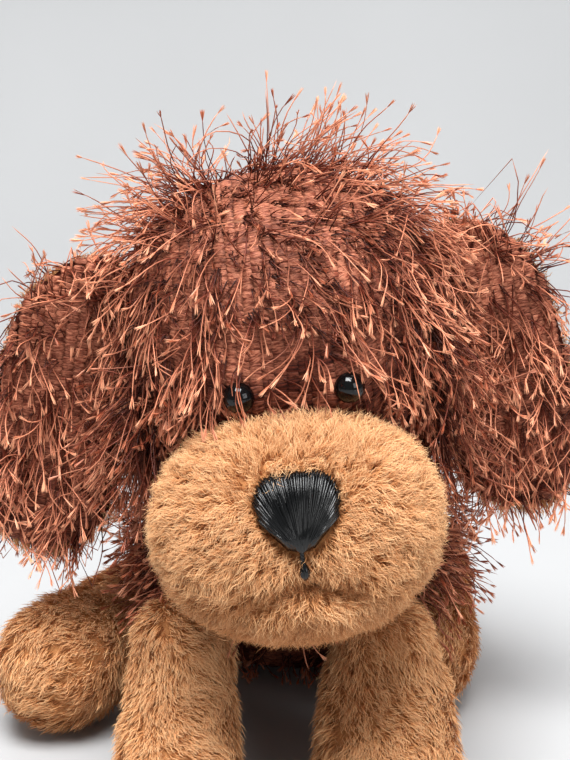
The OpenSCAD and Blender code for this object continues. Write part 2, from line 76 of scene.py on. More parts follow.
ROT_Y = np.array(
    [[math.cos(-ROLL), 0, math.sin(-ROLL)], [0, 1, 0], [-math.sin(-ROLL), 0, math.cos(-ROLL)]]
)
ROT_Z = np.array([[math.cos(YAW), -math.sin(YAW), 0], [math.sin(YAW), math.cos(YAW), 0], [0, 0, 1]])
HEAD_ROT = ROT_Z @ ROT_Y


def to_head(p):
    """Points of the room in the upright head's own frame."""
    return (p - NECK) @ HEAD_ROT + NECK


def from_head(p):
    return (p - NECK) @ HEAD_ROT.T + NECK


def head_dir(v):
    return np.asarray(v, float) @ HEAD_ROT.T


# Small helpers.
def unit(a):
    return a / np.maximum(np.linalg.norm(a, axis=-1, keepdims=True), 1e-9)


def flat_to(v, nrm):
    """The part of v that lies in the surface."""
    return v - nrm * np.sum(v * nrm, axis=-1, keepdims=True)


def waves(p, size, seed):
    """Smooth noise in about -1 to 1 that changes over the given size."""
    r = np.random.default_rng(seed)
    total = np.zeros(len(p))
    for _ in range(5):
        k = unit(r.normal(size=3)) * 2 * math.pi / (size * r.uniform(0.7, 1.5))
        total += np.sin(p @ k + r.uniform(0, 2 * math.pi))
    return total / 2.4


def turned(v, nrm, angle):
    """v turned about nrm."""
    c, s = np.cos(angle)[:, None], np.sin(angle)[:, None]
    return v * c + np.cross(nrm, v) * s


def srgb(r, g, b):
    lin = [x / 255 / 12.92 if x <= 10 else ((x / 255 + 0.055) / 1.055) ** 2.4 for x in (r, g, b)]
    return (*lin, 1.0)


# Meshes.
def add_object(name, mesh, mat, body=None):
    ob = bpy.data.objects.new(name, mesh)
    scene.collection.objects.link(ob)
    if mat is not None:
        mesh.materials.clear()
        mesh.materials.append(mat)
    if body:
        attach(ob, body)
    return ob


def make_mesh(name, verts, quads, tris=None, uv=None):
    tris = np.empty((0, 3), int) if tris is None else tris
    quads = np.empty((0, 4), int) if quads is None else quads
    mesh = bpy.data.meshes.new(name)
    mesh.vertices.add(len(verts))
    mesh.vertices.foreach_set("co", (verts * MM).astype(np.float32).ravel())
    index = np.concatenate([quads.ravel(), tris.ravel()]).astype(np.int32)
    mesh.loops.add(len(index))
    mesh.loops.foreach_set("vertex_index", index)
    starts = np.concatenate([np.arange(len(quads)) * 4, len(quads) * 4 + np.arange(len(tris)) * 3])
    mesh.polygons.add(len(starts))
    mesh.polygons.foreach_set("loop_start", starts.astype(np.int32))
    mesh.polygons.foreach_set("use_smooth", np.ones(len(starts), bool))
    if uv is not None:
        pairs = uv[index].astype(np.float32).ravel()
        for layer in ("strand", "OFBake"):
            mesh.uv_layers.new(name=layer)
        for layer in ("strand", "OFBake"):
            mesh.uv_layers[layer].data.foreach_set("uv", pairs)
    mesh.update(calc_edges=True)
    return mesh


def settle(ob):
    """Bakes the modifiers of ob into its mesh."""
    graph = bpy.context.evaluated_depsgraph_get()
    mesh = bpy.data.meshes.new_from_object(ob.evaluated_get(graph), depsgraph=graph)
    old = ob.data
    ob.modifiers.clear()
    ob.data = mesh
    bpy.data.meshes.remove(old)


def points_of(mesh):
    a = np.empty(len(mesh.vertices) * 3, np.float32)
    mesh.vertices.foreach_get("co", a)
    return a.reshape(-1, 3).astype(float)


def triangles_of(mesh):
    mesh.calc_loop_triangles()
    t = np.empty(len(mesh.loop_triangles) * 3, np.int32)
    mesh.loop_triangles.foreach_get("vertices", t)
    return t.reshape(-1, 3)


def move_points(mesh, verts):
    mesh.vertices.foreach_set("co", (verts * MM).astype(np.float32).ravel())
    mesh.update()


def node_arrays(names):
    """Corners and triangles of some CAD nodes."""
    verts, tris, n = [], [], 0
    for name in names:
        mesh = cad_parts[name].data
        verts.append(points_of(mesh) / MM)
        tris.append(triangles_of(mesh) + n)
        n += len(mesh.vertices)
    return np.concatenate(verts), np.concatenate(tris)


class Form:
    """Surface of a finished skin: where pile and yarn grow, and what they stay clear of."""

    def __init__(self, mesh):
        self.tris = triangles_of(mesh)
        self.verts = points_of(mesh) / MM
        self.normals = np.array([v.normal for v in mesh.vertices], float)
        self.tree = BVHTree.FromPolygons(self.verts.tolist(), self.tris.tolist())
        self.low, self.high = self.verts.min(0), self.verts.max(0)
        a, b, c = (self.verts[self.tris[:, i]] for i in range(3))
        self.areas = np.linalg.norm(np.cross(b - a, c - a), axis=1) / 2

    def scatter(self, per_mm2):
        """Random points on the surface, with normals."""
        n = int(self.areas.sum() * per_mm2)
        which = rng.choice(len(self.tris), n, p=self.areas / self.areas.sum())
        s = np.sqrt(rng.random(n))
        t = rng.random(n)
        w = np.stack([1 - s, s * (1 - t), s * t], axis=1)[:, :, None]
        pts = (self.verts[self.tris[which]] * w).sum(1)
        nrm = unit((self.normals[self.tris[which]] * w).sum(1))
        return pts, nrm

    def depth(self, pts, near):
        """How far each point is outside the surface, negative inside, or near where it is further off."""
        out = np.full(len(pts), float(near))
        close = np.all((pts > self.low - near) & (pts < self.high + near), axis=1)
        for i in np.flatnonzero(close):
            p = Vector(pts[i])
            co, no, _, _ = self.tree.find_nearest(p)
            out[i] = min(near, (p - co).dot(no) if (p - co).dot(no) < 0 else (p - co).length)
        return out

    def hit(self, origin, direction):
        co, no, _, _ = self.tree.ray_cast(Vector(origin), Vector(direction))
        return (None, None) if co is None else (np.array(co), np.array(no))


forms = {}


def free_of(pts, own, margins):
    """Which points lie outside the other forms by the margin given for each."""
    keep = np.ones(len(pts), bool)
    for name, margin in margins.items():
        if name != own:
            alive = np.flatnonzero(keep)
            keep[alive[forms[name].depth(pts[alive], margin + 0.5) < margin]] = False
    return keep


# Materials.
def nodes_of(name):
    mat = bpy.data.materials.new(name)
    mat.use_nodes = True
    tree = mat.node_tree
    shader = tree.nodes["Principled BSDF"]
    return mat, tree, shader


def node(tree, kind, **values):
    n = tree.nodes.new(kind)
    for key, value in values.items():
        if key in n.inputs:
            n.inputs[key].default_value = value
        else:
            setattr(n, key, value)
    return n


def ramp(tree, stops, factor=None):
    n = tree.nodes.new("ShaderNodeValToRGB")
    while len(n.color_ramp.elements) < len(stops):
        n.color_ramp.elements.new(0.5)
    for e, (at, colour) in zip(n.color_ramp.elements, stops):
        e.position = at
        e.color = colour
    if factor is not None:
        tree.links.new(factor, n.inputs["Fac"])
    return n


def strand_material(name, dark, bright, rough, sheen, sheen_tint):
    """Colour from root to tip, between a dark and a bright strand; u picks the strand and v runs along it.
    The root end is darker, partly as painted shade, and the callers move u towards the dark strand where they
    paint shade and towards the bright one where they paint light.
    """
    mat, tree, shader = nodes_of(name)
    uv = node(tree, "ShaderNodeUVMap", uv_map="strand")
    split = tree.nodes.new("ShaderNodeSeparateXYZ")
    tree.links.new(uv.outputs["UV"], split.inputs["Vector"])
    low = ramp(tree, dark, split.outputs["Y"])
    high = ramp(tree, bright, split.outputs["Y"])
    mix = node(tree, "ShaderNodeMix", data_type="RGBA")
    tree.links.new(split.outputs["X"], mix.inputs["Factor"])
    tree.links.new(low.outputs["Color"], mix.inputs[6])
    tree.links.new(high.outputs["Color"], mix.inputs[7])
    tree.links.new(mix.outputs[2], shader.inputs["Base Color"])
    shader.inputs["Roughness"].default_value = rough
    shader.inputs["Specular IOR Level"].default_value = 0.2
    shader.inputs["Sheen Weight"].default_value = sheen
    shader.inputs["Sheen Roughness"].default_value = 0.4
    shader.inputs["Sheen Tint"].default_value = sheen_tint
    return mat


def skin_material(name, low, high, grain, rough):
    """Backing cloth: two tones, a fine grain and a bump."""
    mat, tree, shader = nodes_of(name)
    place = tree.nodes.new("ShaderNodeTexCoord")
    noise = node(tree, "ShaderNodeTexNoise", Scale=grain, Detail=4.0, Roughness=0.6)
    tree.links.new(place.outputs["Object"], noise.inputs["Vector"])
    tone = ramp(tree, [(0.3, low), (0.7, high)], noise.outputs["Fac"])
    tree.links.new(tone.outputs["Color"], shader.inputs["Base Color"])
    bump = node(tree, "ShaderNodeBump", Strength=0.5, Distance=0.0006)
    tree.links.new(noise.outputs["Fac"], bump.inputs["Height"])
    tree.links.new(bump.outputs["Normal"], shader.inputs["Normal"])
    shader.inputs["Roughness"].default_value = rough
    shader.inputs["Specular IOR Level"].default_value = 0.1
    return mat


# The yarn's dark strand is the yarn as painted shade and its bright strand the same yarn as painted light,
# its tips as pale as a painted highlight; both darken towards the root, partly as painted shade.
YARN = strand_material(
    "yarn",
    [(0.0, srgb(26, 6, 3)), (0.3, srgb(54, 17, 10)), (0.7, srgb(104, 40, 25)), (1.0, srgb(182, 90, 58))],
    [
        (0.0, srgb(50, 15, 9)),
        (0.3, srgb(122, 52, 34)),
        (0.62, srgb(240, 154, 118)),
        (1.0, srgb(255, 190, 150)),
    ],
    0.4,
    0.02,
    srgb(255, 205, 175),
)
# The pile's dark strand serves as the pile in painted shade and its bright strand as the pile in painted
# light, besides the random spread of tone between them; both are darker at the root, partly as painted shade.
PLUSH = strand_material(
    "plush_pile",
    [(0.0, srgb(140, 78, 38)), (0.45, srgb(178, 112, 62)), (1.0, srgb(200, 134, 82))],
    [(0.0, srgb(186, 116, 66)), (0.45, srgb(238, 174, 115)), (1.0, srgb(255, 214, 164))],
    0.6,
    0.25,
    srgb(255, 228, 195),
)
KNIT_SKIN = skin_material("knit_backing", srgb(46, 16, 10), srgb(70, 27, 17), 900.0, 0.9)
PLUSH_SKIN = skin_material("plush_backing", srgb(160, 106, 64), srgb(190, 132, 84), 700.0, 0.9)


def stitch_material():
    """Knitted yarn: fine filaments along each stitch, with painted shade at its ends, where it dips under its
    neighbours.
    """
    mat, tree, shader = nodes_of("knit_stitch")
    uv = node(tree, "ShaderNodeUVMap", uv_map="strand")
    split = tree.nodes.new("ShaderNodeSeparateXYZ")
    tree.links.new(uv.outputs["UV"], split.inputs["Vector"])
    stretch = node(tree, "ShaderNodeMapping", Scale=(1000.0, 2.0, 1.0))
    tree.links.new(uv.outputs["UV"], stretch.inputs["Vector"])
    noise = node(tree, "ShaderNodeTexNoise", Scale=1.0, Detail=3.0, Roughness=0.65)
    tree.links.new(stretch.outputs["Vector"], noise.inputs["Vector"])
    # Painted shade: the colour falls to a fifth at the stitch's ends.
    ends = [(0.0, 0.2), (0.13, 0.62), (0.3, 1.0), (0.7, 1.0), (0.87, 0.62), (1.0, 0.2)]
    shade = ramp(tree, [(at, (k, k, k, 1.0)) for at, k in ends], split.outputs["Y"])
    # A dull and a bright copy of the knit: u picks between them, and the callers use it to paint light and
    # shade.
    dull = ramp(tree, [(0.4, srgb(42, 12, 6)), (0.62, srgb(100, 42, 27))], noise.outputs["Fac"])
    bright = ramp(tree, [(0.4, srgb(128, 60, 42)), (0.62, srgb(222, 144, 112))], noise.outputs["Fac"])
    mix = node(tree, "ShaderNodeMix", data_type="RGBA")
    tree.links.new(split.outputs["X"], mix.inputs["Factor"])
    tree.links.new(dull.outputs["Color"], mix.inputs[6])
    tree.links.new(bright.outputs["Color"], mix.inputs[7])
    darken = node(tree, "ShaderNodeMix", data_type="RGBA", blend_type="MULTIPLY")
    darken.inputs["Factor"].default_value = 1.0
    tree.links.new(mix.outputs[2], darken.inputs[6])
    tree.links.new(shade.outputs["Color"], darken.inputs[7])
    tree.links.new(darken.outputs[2], shader.inputs["Base Color"])
    bump = node(tree, "ShaderNodeBump", Strength=0.6, Distance=0.0003)
    tree.links.new(noise.outputs["Fac"], bump.inputs["Height"])
    tree.links.new(bump.outputs["Normal"], shader.inputs["Normal"])
    shader.inputs["Roughness"].default_value = 0.55
    shader.inputs["Specular IOR Level"].default_value = 0.15
    return mat


def thread_material():
    """Black satin embroidery thread, with fine filaments along it."""
    mat, tree, shader = nodes_of("nose_thread")
    uv = node(tree, "ShaderNodeUVMap", uv_map="strand")
    stretch = node(tree, "ShaderNodeMapping", Scale=(900.0, 1.2, 1.0))
    tree.links.new(uv.outputs["UV"], stretch.inputs["Vector"])
    noise = node(tree, "ShaderNodeTexNoise", Scale=1.0, Detail=2.0, Roughness=0.6)
    tree.links.new(stretch.outputs["Vector"], noise.inputs["Vector"])
    tone = ramp(tree, [(0.3, srgb(1, 1, 1)), (0.7, srgb(7, 8, 9))], noise.outputs["Fac"])
    tree.links.new(tone.outputs["Color"], shader.inputs["Base Color"])
    bump = node(tree, "ShaderNodeBump", Strength=0.3, Distance=0.0002)
    tree.links.new(noise.outputs["Fac"], bump.inputs["Height"])
    tree.links.new(bump.outputs["Normal"], shader.inputs["Normal"])
    shader.inputs["Roughness"].default_value = 0.16
    shader.inputs["Specular IOR Level"].default_value = 0.42
    return mat


def plastic_material(name, low, high, rough, coat):
    mat, tree, shader = nodes_of(name)
    place = tree.nodes.new("ShaderNodeTexCoord")
    noise = node(tree, "ShaderNodeTexNoise", Scale=400.0, Detail=3.0)
    tree.links.new(place.outputs["Object"], noise.inputs["Vector"])
    tone = ramp(tree, [(0.35, low), (0.65, high)], noise.outputs["Fac"])
    tree.links.new(tone.outputs["Color"], shader.inputs["Base Color"])
    marks = ramp(tree, [(0.3, (rough,) * 3 + (1,)), (0.8, (rough + 0.08,) * 3 + (1,))], noise.outputs["Fac"])
    tree.links.new(marks.outputs["Color"], shader.inputs["Roughness"])
    shader.inputs["Specular IOR Level"].default_value = 0.25
    shader.inputs["Coat Weight"].default_value = coat
    shader.inputs["Coat Roughness"].default_value = 0.03
    return mat


STITCH = stitch_material()
THREAD = thread_material()
EYE = plastic_material("eye_plastic", srgb(3, 3, 4), srgb(7, 7, 8), 0.06, 0.35)
WASHER = plastic_material("washer_plastic", srgb(214, 214, 210), srgb(228, 228, 224), 0.4, 0.0)


# Skins.
def outer_shell(mesh):
    """Keeps the largest closed surface of a mesh."""
    bm = bmesh.new()
    bm.from_mesh(mesh)
    left, best = set(bm.verts), []
    while left:
        group, edge = [], [left.pop()]
        while edge:
            v = edge.pop()
            group.append(v)
            for e in v.link_edges:
                w = e.other_vert(v)
                if w in left:
                    left.remove(w)
                    edge.append(w)
        if len(group) > len(best):
            best = group
    keep = set(best)
    bmesh.ops.delete(bm, geom=[v for v in bm.verts if v not in keep], context="VERTS")
    bm.to_mesh(mesh)
    bm.free()


def swell(ob, cap):
    """Cloth under pressure, moved by no more than cap."""
    before = points_of(ob.data) / MM
    cloth = ob.modifiers.new("cloth", "CLOTH")
    cloth.settings.use_pressure = True
    cloth.settings.uniform_pressure_force = 4.0
    cloth.settings.effector_weights.gravity = 0.0
    cloth.settings.quality = 4
    cloth.point_cache.frame_start, cloth.point_cache.frame_end = 1, 20
    for f in range(1, 21):
        scene.frame_set(f)
    settle(ob)
    scene.frame_set(1)
    moved = points_of(ob.data) / MM - before
    far = np.linalg.norm(moved, axis=1, keepdims=True)
    move_points(ob.data, before + moved * np.minimum(1.0, cap / np.maximum(far, 1e-6)))


def skin(name, cad_nodes, body, mat, inset, voxel=3.5, cap=1.2, more=None, base=None):
    """Closed padded cover in the place of some CAD nodes, drawn in by inset to leave room for its pile."""
    verts, tris = base or node_arrays(cad_nodes)
    ob = add_object(name, make_mesh(name, verts, None, tris), mat, body)
    m = ob.modifiers.new("closed", "REMESH")
    m.mode, m.voxel_size, m.use_smooth_shade = "VOXEL", voxel * MM, True
    m = ob.modifiers.new("relax", "SMOOTH")
    m.factor, m.iterations = 0.5, 5
    settle(ob)
    outer_shell(ob.data)
    start = points_of(ob.data) / MM
    normals = np.array([v.normal for v in ob.data.vertices], float)
    inset = inset + (more(start, normals) if more else 0.0) * np.ones((len(start), 1))
    low = start - normals * (inset + cap)
    move_points(ob.data, low)
    swell(ob, cap)
    puffed = points_of(ob.data) / MM
    short = cap - ((puffed - low) * normals).sum(1).mean()
    move_points(ob.data, puffed + normals * short)
    m = ob.modifiers.new("fine", "SUBSURF")
    m.levels = m.render_levels = 1
    settle(ob)
    ob.data.materials.clear()
    ob.data.materials.append(mat)
    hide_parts(*cad_nodes)
    forms[name] = Form(ob.data)
    return ob


def head_relief(pts, nrm):
    """The knit lies low under the long tufts of the crown, and covers the washers of the eyes."""
    lift = (nrm @ HEAD_ROT)[:, 2:]
    drop = 4.5 * np.clip((lift - 0.2) / 0.7, 0, 1) ** 1.5
    q = to_head(pts) - HEAD_MID
    for sx in (1, -1):
        off = np.hypot(q[:, 0] - sx * EYE_PITCH / 2, q[:, 2] + EYE_DROP)
        drop = drop - 1.5 * (np.exp(-((off / 9.0) ** 4)) * (q[:, 1] < 0))[:, None]
    return drop


def mouth_off(pts):
    """Height over the mouth's line, which falls to both sides under the nose, and how strongly it shows."""
    q = to_head(pts) - MUZZLE_MID
    fall = np.where(q[:, 0] < 0, 0.5, 0.42) * np.abs(q[:, 0])
    fade = np.clip(1.7 - np.abs(q[:, 0]) / 11.0, 0, 1) * (q[:, 1] < 0)
    return q[:, 2] + 5.2 + fall, fade


def mouth_dent(pts, nrm):
    off, fade = mouth_off(pts)
    chin = np.exp(-(((off + 8.0) / 5.0) ** 2)) * fade
    return (5.4 * np.exp(-((off / 2.5) ** 2)) * fade - 1.4 * chin)[:, None]


def haunch_rise(pts, nrm):
    """The top of a haunch is puffed up where it meets the torso."""
    near = np.exp(-((np.hypot(pts[:, 0] / 62.0, (pts[:, 1] + 8.0) / 42.0)) ** 4))
    return -5.0 * (np.clip(nrm[:, 2], 0, 1) * near)[:, None]


def ear_front_base(side):
    """Front layer of an ear without its locks: the lining mirrored in the seam."""
    verts, tris = node_arrays([f"{side}_ear_lining"])
    q = to_head(verts)
    q[:, 1] = EAR_SEAM - (q[:, 1] - EAR_SEAM) * EAR_OUTER_T / EAR_LINING_T
    return from_head(q), tris[:, ::-1]


# The sign of x on each side.
SIDES = {"left": 1, "right": -1}
skin("torso", ["torso_cover", "torso_stuffing", "pellet_pouch"], "torso", KNIT_SKIN, 1.6, 4.0)
skin("neck", ["neck_wad"], "neck", KNIT_SKIN, 0.4, 4.0, 0.6)
skin(
    "head",
    ["head_cover", "head_stuffing"],
    "head",
    KNIT_SKIN,
    1.6 - COVER_T,
    4.0,
    more=head_relief,
    base=node_arrays(["head_stuffing", "left_eye_washer", "right_eye_washer"]),
)
skin("muzzle", ["muzzle_cover", "muzzle_stuffing"], "head", PLUSH_SKIN, 2.6, 2.4, more=mouth_dent)
for side in SIDES:
    skin(
        f"{side}_ear_front",
        [f"{side}_ear_outer"],
        f"{side}_ear",
        KNIT_SKIN,
        0.8,
        1.8,
        0.4,
        base=ear_front_base(side),
    )
    skin(f"{side}_ear_back", [f"{side}_ear_lining"], f"{side}_ear", PLUSH_SKIN, 0.6, 1.8, 0.4)
    for limb in ("front_leg", "hind_leg"):
        name = f"{side}_{limb}"
        skin(
            name,
            [f"{name}_cover", f"{name}_stuffing"],
            name,
            PLUSH_SKIN,
            2.6,
            3.5,
            more=haunch_rise if limb == "hind_leg" else None,
        )
skin("tail", ["tail_cover", "tail_stuffing"], "tail", PLUSH_SKIN, 2.4, 3.0)

# Strands.
TONES = 64
FLOOR_GAP = 0.2
PILE_FLOOR_GAP = 0.15


def drift(pts, size, seed):
    """Smooth random vectors over points."""
    return np.stack([waves(pts, size, seed + k) for k in range(3)], axis=1)


def ear_margins(margin):
    return {f"{s}_ear_{layer}": margin for s in SIDES for layer in ("front", "back")}


def leg_margins(margin):
    return {f"{s}_{leg}": margin for s in SIDES for leg in ("front_leg", "hind_leg")}


def shares(n, count):
    """Slices that cut n things into runs of one size, the last with the rest."""
    run = n // count
    return [slice(k * run, (k + 1) * run if k < count - 1 else None) for k in range(count)]


def tone_band(tone):
    """Left and right edge of the strip of the map that a strand of this tone uses."""
    k = np.clip((tone * TONES).astype(int), 0, TONES - 1)
    return (k + 0.15) / TONES, (k + 0.85) / TONES


def tubes(paths, radius, tone, sides):
    """Thin tubes along paths (n, k, 3), closed to a point at the tip. radius is (k,) or (n, k)."""
    n, k, _ = paths.shape
    radius = np.broadcast_to(radius, (n, k))
    along = unit(np.gradient(paths, axis=1))
    ref = unit(rng.normal(size=(n, 1, 3)))
    a = unit(np.cross(along, ref))
    b = np.cross(along, a)
    rings = []
    for s in range(sides):
        t = 2 * math.pi * s / sides
        rings.append(paths + (a * math.cos(t) + b * math.sin(t)) * radius[:, :, None])
    body = np.stack(rings, axis=2)[:, :-1]
    verts = np.concatenate([body.reshape(n, -1, 3), paths[:, -1:]], axis=1)
    per = (k - 1) * sides + 1
    low, high = tone_band(tone)
    u = low[:, None] + (high - low)[:, None] * (np.arange(sides) / (sides - 1))
    v = np.linspace(0.005, 0.995, k)
    uv = np.empty((n, per, 2))
    uv[:, :-1, 0] = np.tile(u, (1, k - 1))
    uv[:, :-1, 1] = np.repeat(v[:-1], sides)
    uv[:, -1, 0] = (low + high) / 2
    uv[:, -1, 1] = v[-1]
    ring = np.arange(k - 2)[:, None] * sides
    s = np.arange(sides)[None, :]
    t = (s + 1) % sides
    quads = np.stack([ring + s, ring + t, ring + sides + t, ring + sides + s], axis=2).reshape(-1, 4)
    end = (k - 2) * sides
    tris = np.stack([end + s[0], end + t[0], np.full(sides, per - 1)], axis=1)
    base = (np.arange(n) * per)[:, None, None]
    quads = (quads[None] + base).reshape(-1, 4)
    tris = (tris[None] + base).reshape(-1, 3)
    return verts.reshape(-1, 3), quads, tris, uv.reshape(-1, 2)


def ribbons(paths, across, width, tone):
    """Flat fibres along paths (n, k, 3), as wide as width (k,), that end in a point."""
    n, k, _ = paths.shape
    half = across[:, None, :] * (width / 2)[None, :, None]
    body = np.stack([paths - half, paths + half], axis=2)[:, :-1]
    verts = np.concatenate([body.reshape(n, -1, 3), paths[:, -1:]], axis=1)
    per = (k - 1) * 2 + 1
    low, high = tone_band(tone)
    v = np.linspace(0.005, 0.995, k)
    uv = np.empty((n, per, 2))
    uv[:, :-1:2, 0] = low[:, None]
    uv[:, 1:-1:2, 0] = high[:, None]
    uv[:, :-1, 1] = np.repeat(v[:-1], 2)
    uv[:, -1, 0] = (low + high) / 2
    uv[:, -1, 1] = v[-1]
    r = np.arange(k - 2)[:, None] * 2
    quads = (r + np.array([0, 1, 3, 2])[None]).reshape(-1, 4)
    tris = np.array([[(k - 2) * 2, (k - 2) * 2 + 1, per - 1]])
    base = (np.arange(n) * per)[:, None, None]
    quads = (quads[None] + base).reshape(-1, 4)
    tris = (tris[None] + base).reshape(-1, 3)
    return verts.reshape(-1, 3), quads, tris, uv.reshape(-1, 2)


def joined(parts):
    """Several (verts, quads, tris, uv) as one."""
    verts, quads, tris, uvs, n = [], [], [], [], 0
    for v, q, t, w in parts:
        verts.append(v)
        quads.append(q + n)
        tris.append(t + n)
        uvs.append(w)
        n += len(v)
    return np.concatenate(verts), np.concatenate(quads), np.concatenate(tris), np.concatenate(uvs)


def yarn(name, own, pts, nrm, comb, length, lift, droop, body, shade=0.55, fray=0.8):
    """Eyelash yarn: groups of thin wavy strands that are dark at the root and end in a frayed brush."""
    in_group = rng.choice([1, 2, 3, 4, 5], len(pts), p=[0.16, 0.26, 0.26, 0.2, 0.12])
    rep = np.repeat(np.arange(len(pts)), in_group)
    group = rng.normal(size=(len(pts), 3))[rep]
    group_bend = rng.normal(size=(len(pts), 3))[rep]
    shade = np.broadcast_to(shade, len(pts))[rep]
    pts, nrm, comb, lift, droop = pts[rep], nrm[rep], comb[rep], lift[rep], droop[rep]
    form, n, steps = forms[own], len(pts), 8
    length = length[rep] * rng.uniform(0.7, 1.15, n)
    path = np.empty((n, steps + 1, 3))
    path[:, 0] = pts - nrm * 0.6 + flat_to(rng.normal(size=(n, 3)) * 0.8, nrm)
    d = unit(nrm * lift[:, None] + comb + group * 0.4 + rng.normal(size=(n, 3)) * 0.18)
    bend = group_bend * 0.1 + rng.normal(size=(n, 3)) * 0.06
    wave = rng.normal(size=(n, 3)) * 0.16
    phase = rng.uniform(0, 2 * math.pi, n)
    for k in range(steps):
        p = path[:, k] + d * (length / steps)[:, None]
        for i in range(n):
            q = Vector(p[i])
            co, no, _, _ = form.tree.find_nearest(q)
            out = (q - co).dot(no)
            want = 0.8 + 0.15 * k
            if out < want:
                p[i] += np.array(no) * (want - out)
        path[:, k + 1] = p
        swing = wave * np.cos(phase + 0.9 * k)[:, None]
        d = unit(d + DOWN * droop[:, None] + comb * 0.05 + bend + swing)
    over = np.maximum(path[:, :, 2].max(1) - (limit_high - 2.0 - 8.0 * rng.random(n)), 0)
    path[:, :, 2] -= over[:, None] * np.linspace(0, 1, steps + 1) ** 1.5
    path[:, :, 2] = np.maximum(path[:, :, 2], FLOOR_GAP)
    tone = np.clip(shade + rng.normal(0, 0.28, n), 0.02, 0.98)
    stem = tubes(path, np.linspace(0.205, 0.16, steps + 1), tone, sides=4)
    stem[3][:, 1] *= 0.86
    built = [stem]
    frayed = rng.random(n) < fray
    tip, run = path[frayed, -1], unit(path[frayed, -1] - path[frayed, -2])
    m = len(tip)
    brush = rng.uniform(2.8, 5.4, m)
    t = np.array([0.0, 0.35, 0.7, 1.0])
    for _ in range(8):
        spread = np.cross(run, unit(rng.normal(size=(m, 3))))
        fan = tip[:, None] + run[:, None] * ((t - 0.7) * brush[:, None])[:, :, None]
        fan = fan + spread[:, None] * (t * rng.uniform(0.15, 0.95, m)[:, None])[:, :, None]
        fan[:, :, 2] = np.clip(fan[:, :, 2], FLOOR_GAP, limit_high)
        across = unit(np.cross(run, rng.normal(size=(m, 3))))
        lit = np.clip(tone[frayed] + rng.normal(0.1, 0.15, m), 0.02, 0.98)
        hair = ribbons(fan, across, np.array([0.18, 0.3, 0.3, 0.1]), lit)
        hair[3][:, 1] = 0.7 + 0.29 * hair[3][:, 1]
        built.append(hair)
    verts, quads, tris, uv = joined(built)
    return add_object(name, make_mesh(name, verts, quads, tris, uv), YARN, body)


def pile(
    name, pts, nrm, flow, length, body, tone, spread, crinkle, steps, gather, lock,
    per_clump=5, start=0.25, end=1.3, width=0.18,
):
    """Plush: clumps of crinkled fibres that rise and lie over along the flow."""
    n = len(pts)
    flow = unit(flow)
    side = np.cross(nrm, flow)
    phase = 3.5 * waves(pts, lock, 26)
    rep = np.repeat(np.arange(n), per_clump)
    m = len(rep)
    r = rng.normal(size=(m, 2)) * spread / 2
    off = flow[rep] * r[:, :1] + side[rep] * r[:, 1:]
    size = length[rep] * rng.uniform(0.72, 1.15, m)
    t = np.linspace(0, 1, steps + 1)
    angle = start + (end - start) * t
    rise = np.concatenate([[0], np.cumsum(np.cos((angle[1:] + angle[:-1]) / 2))]) / steps
    lay = np.concatenate([[0], np.cumsum(np.sin((angle[1:] + angle[:-1]) / 2))]) / steps
    wild = rng.normal(size=(m, 3)) * 0.12
    path = (
        pts[rep][:, None]
        + off[:, None] * (1 - gather * t)[None, :, None]
        + nrm[rep][:, None] * (rise[None] * size[:, None])[:, :, None]
        + flow[rep][:, None] * (lay[None] * size[:, None])[:, :, None]
        + (wild * size[:, None])[:, None] * (t**1.5)[None, :, None]
    )
    curl = np.sin(2 * math.pi * 1.3 * t[None] + phase[rep][:, None] + rng.normal(0, 0.5, m)[:, None])
    path += side[rep][:, None] * (curl * crinkle * t[None] ** 0.6)[:, :, None]
    path[:, 0] -= nrm[rep] * 0.3
    across = unit(side[rep] + rng.normal(size=(m, 3)) * 0.5)
    w = width * np.interp(t, [0, 0.3, 0.7, 1.0], [0.8, 1.0, 0.85, 0.1])
    path[:, :, 2] = np.maximum(path[:, :, 2], PILE_FLOOR_GAP)
    shade = np.clip(tone[rep] + rng.normal(0, 0.12, m), 0.02, 0.98)
    verts, quads, tris, uv = ribbons(path, across, w, shade)
    return add_object(name, make_mesh(name, verts, quads, tris, uv), PLUSH, body)


